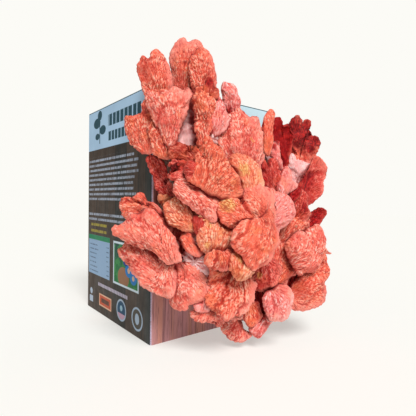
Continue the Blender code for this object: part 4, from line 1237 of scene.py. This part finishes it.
mushroom(
    "left_button", "cream", "left", 254, (0.0, 0.1), 3, (165, 200),
    [(158, 199), (160, 194), (167, 193), (172, 197), (173, 203), (166, 207), (160, 205)],
    stem=0.7, ruffle=0.68, felt=0.4,
)
mushroom(
    "left_dark", "red", "left", 255, (0.1, 0.0), -2, (165, 186),
    [(147, 157), (158, 157), (165, 165), (168, 177), (175, 191), (172, 199), (159, 194), (153, 178)],
    stem=0.7, fan=(176, 204),
)

# Crown. Tall caps of thin upright flesh, cupped into one another, nearly all on the bundle
# that climbs the carton's face. The tallest stand up past the carton's top edge.
mushroom(
    "crown_front", "peach", "crown", 245, (0.1, 0.1), 6, (172, 119),
    [(145, 97), (149, 92), (155, 94), (161, 89), (168, 92), (175, 86), (183, 89), (189, 86),
     (193, 92), (191, 102), (187, 113), (182, 124), (179, 136), (175, 147), (168, 146), (161, 136),
     (154, 122), (149, 110)],
    stem=1.3, fan=(170, 166), smooth=1.36, smooth_side=(1.0, 0.3),
)
mushroom(
    "crown_curl", "coral", "crown", 247, (0.2, 0.15), 5, (205, 122),
    [(192, 92), (194, 87), (200, 87), (206, 84), (212, 88), (216, 96), (219, 106), (219, 118),
     (216, 128), (210, 136), (205, 148), (198, 148), (196, 130), (194, 114), (191, 102)],
    fan=(206, 172), ruffle=1.2, smooth=0.5, smooth_side=(1.0, -0.1), shade_spots=[(208, 88, 5)],
)
mushroom(
    "crown_tip", "rust", "crown", 249, (0.2, 0.2), 2, (209, 86),
    [(202, 92), (204, 84), (207, 78), (211, 79), (215, 84), (219, 91), (218, 99), (211, 102),
     (205, 100)],
    stem=0.5, fan=(206, 100), ruffle=0.6, felt=0.6, shade_spots=[(209, 84, 7)],
)
mushroom(
    "crown_side", "pale", "crown", 251, (0.3, 0.1), 4, (218, 118),
    [(210, 94), (217, 92), (222, 98), (226, 107), (229, 117), (228, 126), (222, 134), (214, 137),
     (208, 126), (207, 108)],
    stem=0.8, fan=(212, 150), ruffle=0.8, felt=0.7,
)
mushroom(
    "crown_inner", "stalk", "crown", 253, (0.1, 0.1), -2, (192, 126),
    [(186, 98), (196, 98), (203, 122), (206, 146), (190, 152), (176, 149), (179, 130)],
    stem=0.7, fan=(188, 172), felt=0.3,
    shade_spots=[(193, 104, 14), (195, 118, 10), (196, 130, 8), (197, 142, 7)],
)
mushroom(
    "threads_crown", "stalk", "crown", 250, (0.1, 0.2), 2, (210, 140),
    [(202, 136), (208, 131), (216, 133), (218, 141), (210, 147), (203, 144)],
    stem=0.7, felt=0.6,
)
mushroom(
    "crown_left", "coral", "crown", 255, (0.0, 0.12), 5, (157, 96),
    [(137, 67), (139, 59), (143, 56), (149, 59), (152, 53), (157, 50), (163, 54), (167, 62),
     (170, 70), (173, 80), (173, 92), (166, 104), (154, 106), (146, 98), (141, 84), (138, 75)],
    fan=(160, 128), ruffle=0.51, smooth=1.1, smooth_side=(1.0, 0.2),
)
mushroom(
    "crown_right", "coral", "crown", 260, (0.3, 0.15), 5, (204, 84),
    [(188, 66), (190, 58), (194, 52), (200, 47), (207, 50), (212, 58), (214, 68), (217, 80),
     (215, 92), (206, 100), (197, 98), (191, 86), (189, 75)],
    fan=(203, 118), ruffle=0.59, smooth=1.1, smooth_side=(1.0, 0.3),
)
mushroom(
    "crown_tall", "coral", "crown", 268, (0.15, 0.12), 5, (184, 95),
    [(169, 58), (173, 47), (178, 40), (184, 37), (188, 41), (193, 39), (200, 42), (204, 50),
     (203, 64), (201, 80), (197, 96), (188, 106), (176, 104), (170, 90), (172, 74)],
    fan=(184, 132), ruffle=0.59, smooth=1.02, smooth_side=(0.4, 1.0),
)
mushroom(
    "crown_narrow", "coral", "crown", 247, (0.1, 0.1), 3, (165, 151),
    [(148, 126), (152, 119), (158, 120), (165, 132), (170, 142), (174, 150), (170, 159),
     (160, 158), (152, 152), (149, 138)],
    stem=0.8, fan=(168, 170), ruffle=0.68,
)
mushroom(
    "crown_wing", "coral", "crown", 255, (-0.3, 0.1), 4, (148, 138),
    [(126, 117), (134, 115), (142, 112), (145, 100), (155, 104), (161, 118), (158, 134),
     (157, 150), (146, 155), (138, 151), (131, 143), (127, 130)],
    stem=0.8, fan=(152, 168), ruffle=0.85, shade_spots=[(151, 108, 9)],
)
mushroom(
    "crown_folded", "pale", "upper", 268, (0.4, 0.1), 4, (232, 111),
    [(221, 86), (224, 82), (230, 83), (235, 86), (238, 94), (240, 104), (238, 113), (232, 118),
     (228, 116), (224, 108), (222, 98)],
    fan=(234, 136), ruffle=0.68, shade_spots=[(227, 112, 6)],
)

# Right of the middle. Caps of the same soft flesh that overlap in rows from the middle to the
# right, the broad ones above and the folded ones below them.
mushroom(
    "upper_broad", "peach", "upper", 262, (0.45, 0.2), 5, (244, 146),
    [(213, 132), (219, 122), (225, 114), (232, 112), (238, 108), (243, 112), (248, 117),
     (255, 115), (261, 121), (263, 131), (263, 147), (264, 162), (256, 172), (242, 168),
     (230, 170), (220, 160), (216, 146)],
    fan=(240, 185), smooth=1.27, smooth_side=(1.0, 0.2), stains=[(249, 142, 4)],
)
mushroom(
    "upper_ochre", "ochre", "right", 247, (0.4, 0.25), 5, (246, 174),
    [(226, 164), (232, 155), (244, 153), (252, 158), (259, 165), (262, 176), (262, 188),
     (254, 196), (242, 196), (234, 184), (228, 174)],
    fan=(250, 205), ruffle=0.85, felt=0.7, stains=[(241, 172, 9)],
)
mushroom(
    "right_pink", "pale", "right", 258, (0.5, 0.2), 5, (280, 208),
    [(256, 190), (268, 187), (278, 192), (286, 196), (293, 203), (295, 214), (289, 224),
     (281, 230), (275, 236), (264, 226), (258, 206)],
    fan=(262, 226), ruffle=0.68, felt=0.6,
)
mushroom(
    "right_bridge", "red", "right", 280, (0.4, 0.1), 3, (299, 208),
    [(287, 197), (292, 193), (298, 188), (304, 192), (307, 200), (310, 210), (308, 221),
     (300, 226), (293, 216), (289, 206)],
    stem=0.7, fan=(288, 226), ruffle=0.85, shade_spots=[(301, 208, 8)],
)
mushroom(
    "right_long", "coral", "right", 276, (0.5, 0.1), 4, (290, 228),
    [(268, 230), (274, 220), (284, 213), (291, 209), (299, 211), (307, 215), (311, 224),
     (307, 236), (298, 246), (287, 254), (276, 254), (269, 242)],
    fan=(272, 256),
)
mushroom(
    "right_double", "peach", "right_low", 264, (0.5, 0.1), 8, (298, 256),
    [(284, 245), (288, 239), (292, 235), (298, 231), (304, 233), (308, 240), (309, 252),
     (311, 262), (307, 272), (300, 276), (294, 270), (288, 258)],
    fan=(284, 270), ruffle=0.85, smooth=0.85, smooth_side=(1.0, 0.4),
)
mushroom(
    "right_upright", "peach", "right_low", 275, (0.5, 0.1), 6, (315, 250),
    [(300, 246), (305, 232), (314, 224), (320, 226), (324, 236), (325, 248), (330, 253),
     (325, 255), (321, 262), (314, 271), (305, 272), (300, 260)],
    stem=0.8, fan=(304, 280), ruffle=0.68, smooth=1.1, smooth_side=(1.0, 0.3),
)
mushroom(
    "right_corner", "coral", "right_low", 280, (0.5, 0.2), 6, (300, 282),
    [(289, 294), (293, 282), (300, 272), (309, 264), (316, 258), (325, 255), (329, 264),
     (328, 274), (324, 282), (328, 289), (326, 299), (318, 306), (308, 310), (298, 310),
     (291, 308)],
    fan=(286, 296), ruffle=0.85, smooth=1.02, smooth_side=(0.6, -1.0),
)
mushroom(
    "right_dark_leaf", "deep", "right", 286, (0.3, 0.1), -1.5, (312, 220),
    [(306, 224), (309, 215), (314, 210), (320, 207), (326, 209), (327, 214), (323, 221),
     (317, 228), (310, 232)],
    stem=0.6, fan=(300, 234), ruffle=0.85,
)
mushroom(
    "right_narrow", "coral", "right_low", 266, (0.4, 0.1), 3, (278, 268),
    [(268, 252), (277, 244), (288, 240), (294, 250), (294, 262), (296, 272), (289, 283),
     (280, 289), (270, 290), (262, 287), (257, 274), (261, 262)],
    stem=0.8, fan=(268, 290), ruffle=0.85, shade_spots=[(266, 276, 7)],
)
mushroom(
    "right_shade", "deep", "right_low", 275, (0.3, 0.1), -1, (294, 277),
    [(282, 266), (292, 260), (302, 268), (310, 276), (304, 288), (296, 298), (284, 294)],
    stem=0.6, fan=(290, 296), ruffle=0.68,
)

# Right end. Deep red cupped caps and thin leaves of flesh, nearly all on the right bundle,
# with a thick pale foot among them.
mushroom(
    "end_gilled", "coral", "right", 300, (0.1, 0.1), -3, (300, 158),
    [(282, 128), (288, 122), (295, 117), (300, 119), (303, 123), (306, 119), (310, 121),
     (310, 130), (313, 135), (318, 137), (319, 143), (317, 155), (312, 164), (306, 168),
     (298, 168), (290, 164), (283, 156), (285, 142)],
    stem=1.3, fan=(300, 184), ruffle=1.2, felt=0.6, smooth=1.7, smooth_side=(0.5, -1.0),
    shade_spots=[(294, 128, 20), (308, 130, 20), (314, 140, 15), (302, 136, 20), (288, 142, 14), (310, 148, 10)],
)
mushroom(
    "end_foot", "stalk", "right", 298, (0.1, 0.1), 4, (296, 178),
    [(282, 166), (286, 155), (294, 154), (300, 160), (306, 163), (312, 166), (308, 176),
     (301, 184), (296, 194), (288, 200), (282, 188), (283, 176)],
    stem=1.4, fan=(292, 214), felt=0.4,
)
mushroom(
    "end_cupped", "red", "right", 289, (0.5, 0.1), -4, (313, 186),
    [(311, 162), (315, 156), (321, 160), (328, 168), (325, 180), (322, 190), (318, 198),
     (310, 205), (301, 203), (295, 196), (298, 187), (304, 178), (308, 169)],
    fan=(302, 206), felt=0.5, smooth=0.85, smooth_side=(1.0, 0.3),
    shade_spots=[(308, 182, 14), (312, 176, 8), (303, 190, 10)],
)
mushroom(
    "end_small", "deep", "right", 292, (0.2, 0.1), -2, (284, 146),
    [(270, 124), (274, 117), (280, 119), (284, 125), (290, 126), (293, 136), (291, 148),
     (289, 160), (286, 174), (279, 172), (276, 156), (275, 144), (271, 137), (269, 130)],
    fan=(284, 180), ruffle=1.19, felt=0.4, shade_spots=[(283, 142, 14), (282, 160, 9)],
)
mushroom(
    "end_upright", "coral", "upper", 276, (0.3, 0.1), 3, (267, 140),
    [(261, 130), (263, 119), (267, 112), (271, 109), (274, 113), (274, 125), (273, 137),
     (271, 150), (267, 156), (262, 147)],
    stem=0.8, fan=(267, 170), ruffle=0.51, felt=0.6,
)
mushroom(
    "end_leaf_pair", "red", "right", 271, (0.4, 0.1), 3, (275, 186),
    [(256, 176), (258, 162), (262, 159), (266, 167), (269, 160), (274, 159), (279, 167),
     (282, 180), (281, 193), (268, 196), (258, 192)],
    stem=0.7, fan=(272, 205), ruffle=0.68, felt=0.7, shade_spots=[(261, 170, 4), (262, 180, 4)],
)
mushroom(
    "end_leaf_right", "pale", "right", 274, (0.4, 0.1), 3, (284, 186),
    [(276, 188), (279, 180), (281, 172), (284, 167), (288, 166), (291, 172), (291, 180),
     (295, 183), (296, 188), (289, 197), (283, 200), (277, 198)],
    stem=0.8, fan=(284, 214), ruffle=0.68, felt=0.6,
)
mushroom(
    "end_leaf_back", "pale", "right", 282, (0.3, 0.1), 3, (277, 158),
    [(269, 154), (272, 145), (276, 140), (280, 141), (281, 152), (282, 163), (281, 173),
     (276, 168), (271, 160)],
    stem=0.7, fan=(276, 190), ruffle=0.68, felt=0.4, shade_spots=[(272, 147, 6), (277, 141, 5)],
)
mushroom(
    "end_fold", "deep", "right", 274, (0.4, 0.1), -1, (295, 194),
    [(286, 198), (291, 193), (297, 188), (302, 185), (302, 193), (295, 201), (289, 203)],
    stem=0.6, fan=(290, 212), ruffle=0.85,
)

# Lower edge. Ruffled and ball-like caps that hang lowest, close over one another, on stems
# from the low bundle and the right of the base.
mushroom(
    "low_stub", "red", "right_low", 258, (0.2, 0.1), 3, (261, 276),
    [(244, 268), (250, 258), (262, 256), (274, 258), (281, 268), (278, 282), (268, 291),
     (255, 291), (247, 282)],
    fan=(262, 256), stains=[(257, 275, 4)],
)
mushroom(
    "low_dark", "deep", "right_low", 268, (0.3, 0.1), -2, (265, 296),
    [(244, 290), (254, 280), (266, 280), (278, 280), (286, 290), (280, 304), (274, 318),
     (262, 322), (254, 312), (254, 300)],
    stem=0.7, fan=(262, 276), ruffle=0.85,
)
mushroom(
    "low_ruffled", "coral", "low", 242, (0.3, 0.3), 6, (230, 282),
    [(207, 274), (209, 264), (220, 261), (234, 262), (246, 266), (252, 274), (256, 284),
     (254, 292), (254, 300), (247, 308), (240, 316), (228, 320), (215, 314), (207, 305),
     (207, 290)],
    stem=1.2, fan=(236, 262), ruffle=1.6,
)
mushroom(
    "low_skirt", "peach", "low", 243, (0.1, 0.25), 3, (216, 314),
    [(189, 313), (194, 308), (202, 305), (212, 306), (225, 310), (237, 312), (241, 318),
     (233, 322), (226, 323), (220, 327), (210, 323), (200, 321), (194, 319)],
    fan=(212, 292), ruffle=1.36,
)
mushroom(
    "low_ball", "pale", "right_low", 256, (0.4, 0.25), 6, (274, 298),
    [(262, 298), (266, 292), (273, 289), (279, 285), (286, 285), (291, 291), (293, 301),
     (291, 312), (286, 320), (277, 322), (270, 319), (264, 309)],
    fan=(268, 284), ruffle=0.68, felt=0.95, smooth=1.36, smooth_side=(0.8, -0.6),
)
mushroom(
    "low_inner", "coral", "low", 260, (0.2, 0.2), 3, (252, 312),
    [(241, 316), (244, 307), (250, 302), (258, 302), (262, 311), (263, 319), (257, 326),
     (251, 329), (245, 324)],
    stem=0.8, fan=(250, 300), ruffle=0.85,
)
mushroom(
    "low_pale", "pale", "low", 263, (0.2, 0.2), 3, (262, 323),
    [(249, 330), (252, 322), (260, 316), (268, 312), (274, 318), (268, 328), (262, 334),
     (257, 338)],
    stem=0.8, fan=(262, 312), ruffle=0.68,
)
mushroom(
    "lowest", "peach", "low", 264, (0.1, 0.3), 4, (236, 328),
    [(221, 328), (223, 320), (231, 316), (240, 318), (244, 327), (248, 331), (253, 334),
     (249, 339), (241, 342), (232, 341), (225, 336)],
    fan=(240, 318), ruffle=0.68,
)

# Nooks. Where mushrooms press against each other the skin is painted deep red as shade: each point
# is given a number for how closely other flesh stands round it, and the skins read it.
NOOK_REACH = 16 * MM
LOOKS = 12
LOOK_SPIN = 2.39996
LOOK_LEAN = 0.95
START_OVER = 1.6
RING_SKIP = 4
COLUMN_SKIP = 6
TREE_RING_SKIP = 3
TREE_COLUMN_SKIP = 4


def nook_tree():
    """One coarse shape of all the mushrooms together, to look out from."""
    points = []
    faces = []
    for _, grid in CROWD:
        coarse = grid[::TREE_RING_SKIP, ::TREE_COLUMN_SKIP]
        faces.extend(ring_quads(*coarse.shape[:2], len(points)).tolist())
        points.extend(coarse.reshape(-1, 3).tolist())
    return BVHTree.FromPolygons(points, faces)


def look_rays():
    """Directions spread evenly over the view straight out, as if out were up."""
    counts = np.arange(LOOKS) + 0.5
    lean = np.sqrt(counts / LOOKS) * LOOK_LEAN
    spin = counts * LOOK_SPIN
    return np.stack([lean * np.cos(spin), lean * np.sin(spin), np.sqrt(1 - lean ** 2)], axis=1)


def closeness(tree, coarse, normal):
    """How much of the view straight out from each point is taken up by flesh close by."""
    rays = look_rays()
    closed = np.zeros(coarse.shape[:2])
    for i, j in np.ndindex(closed.shape):
        out = Vector(normal[i, j])
        if out.length < 0.5:
            continue
        turn = out.to_track_quat("Z", "Y")
        start = Vector(coarse[i, j]) + out * START_OVER * MM
        for ray in rays:
            far = tree.ray_cast(start, turn @ Vector(ray), NOOK_REACH)[3]
            if far is not None:
                closed[i, j] += (1 - 0.6 * far / NOOK_REACH) / LOOKS
    return closed


def nooks(tree, piece, grid):
    """Work the closeness out at some of a mushroom's points and keep it, filled in, for all."""
    coarse = grid[::RING_SKIP, ::COLUMN_SKIP]
    rings, columns = coarse.shape[:2]
    normal = skin_normals(coarse)
    middle = grid.reshape(-1, 3).mean(axis=0)
    if np.sum(normal[-rings // 3:] * (coarse[-rings // 3:] - middle)) < 0:
        normal = -normal
    closed = closeness(tree, coarse, normal)
    wide = np.concatenate([closed, closed[:, :1]], axis=1)
    at_columns = np.arange(grid.shape[1]) / COLUMN_SKIP
    wide = np.stack([np.interp(at_columns, np.arange(columns + 1), row) for row in wide])
    at_rings = np.arange(grid.shape[0]) / RING_SKIP
    full = np.stack([np.interp(at_rings, np.arange(rings), column) for column in wide.T], axis=1)
    flat = full.ravel()
    values = np.concatenate([flat[:1], flat, flat[-1:]])
    piece.data.attributes.new("nook", "FLOAT", "POINT").data.foreach_set("value", values)


look_out = nook_tree()
for mushroom_piece, mushroom_grid in CROWD:
    nooks(look_out, mushroom_piece, mushroom_grid)

# Table top, light and the eye. A matt pale floor that glows faintly, one wide soft sun from high
# in front, pale surroundings, and the picture taken from the eye point that the caps use.
PAPER = (252, 251, 246)
SWEEP_GREY = (194, 194, 191)
SWEEP_REACH = 3
SWEEP_GAP = 0.2 * MM
SWEEP_GLOW = 0.45
STUDIO_GLOW = 0.3
KEY_FROM = Vector((-0.24, -0.74, 0.84))
KEY_SPREAD = math.radians(26)
KEY_STRENGTH = 3.05
SENSOR = 36


def pale_floor():
    recipe = Recipe("pale_floor")
    recipe.finish(SWEEP_GREY, 0.9, specular=0.1)
    recipe.shader.inputs["Emission Color"].default_value = tint(PAPER)
    recipe.shader.inputs["Emission Strength"].default_value = SWEEP_GLOW
    return recipe.material


def sweep():
    mesh = bpy.data.meshes.new("floor")
    form = bmesh.new()
    corners = [form.verts.new((x * SWEEP_REACH, y * SWEEP_REACH, 0))
               for x, y in ((-1, -1), (1, -1), (1, 1), (-1, 1))]
    form.faces.new(corners)
    form.to_mesh(mesh)
    form.free()
    mesh.materials.append(pale_floor())
    floor = bpy.data.objects.new("floor", mesh)
    floor.location.z = cad_box[0][2] - SWEEP_GAP
    bpy.context.scene.collection.objects.link(floor)


def key_light():
    light = bpy.data.lights.new("key", "SUN")
    light.angle = KEY_SPREAD
    light.energy = KEY_STRENGTH
    light.color = (1.0, 0.99, 0.98)
    holder = bpy.data.objects.new("key", light)
    holder.rotation_euler = (-KEY_FROM).to_track_quat("-Z", "Y").to_euler()
    bpy.context.scene.collection.objects.link(holder)


def surroundings():
    """A pale studio that lights the object weakly and stands behind it as plain paper."""
    world = bpy.data.worlds.new("studio")
    world.use_nodes = True
    tree = world.node_tree
    glow = tree.nodes["Background"]
    glow.inputs["Color"].default_value = tint(PAPER)
    glow.inputs["Strength"].default_value = STUDIO_GLOW
    paper = tree.nodes.new("ShaderNodeBackground")
    paper.inputs["Color"].default_value = tint(PAPER)
    seen = tree.nodes.new("ShaderNodeLightPath")
    either = tree.nodes.new("ShaderNodeMixShader")
    tree.links.new(seen.outputs["Is Camera Ray"], either.inputs[0])
    tree.links.new(glow.outputs[0], either.inputs[1])
    tree.links.new(paper.outputs[0], either.inputs[2])
    tree.links.new(either.outputs[0], tree.nodes["World Output"].inputs["Surface"])
    bpy.context.scene.world = world


def stand_eye():
    eye = bpy.data.cameras.new("eye")
    eye.sensor_width = SENSOR
    eye.lens = SENSOR * EYE_FOCAL / (2 * EYE_MIDDLE)
    eye.clip_start = 0.01
    stand = bpy.data.objects.new("eye", eye)
    stand.matrix_world = Matrix.Translation(EYE) @ Matrix((RIGHT, UPWARD, -FORWARD)).transposed().to_4x4()
    bpy.context.scene.collection.objects.link(stand)
    bpy.context.scene.camera = stand


sweep()
key_light()
surroundings()
stand_eye()
bpy.context.scene.view_settings.view_transform = "Standard"
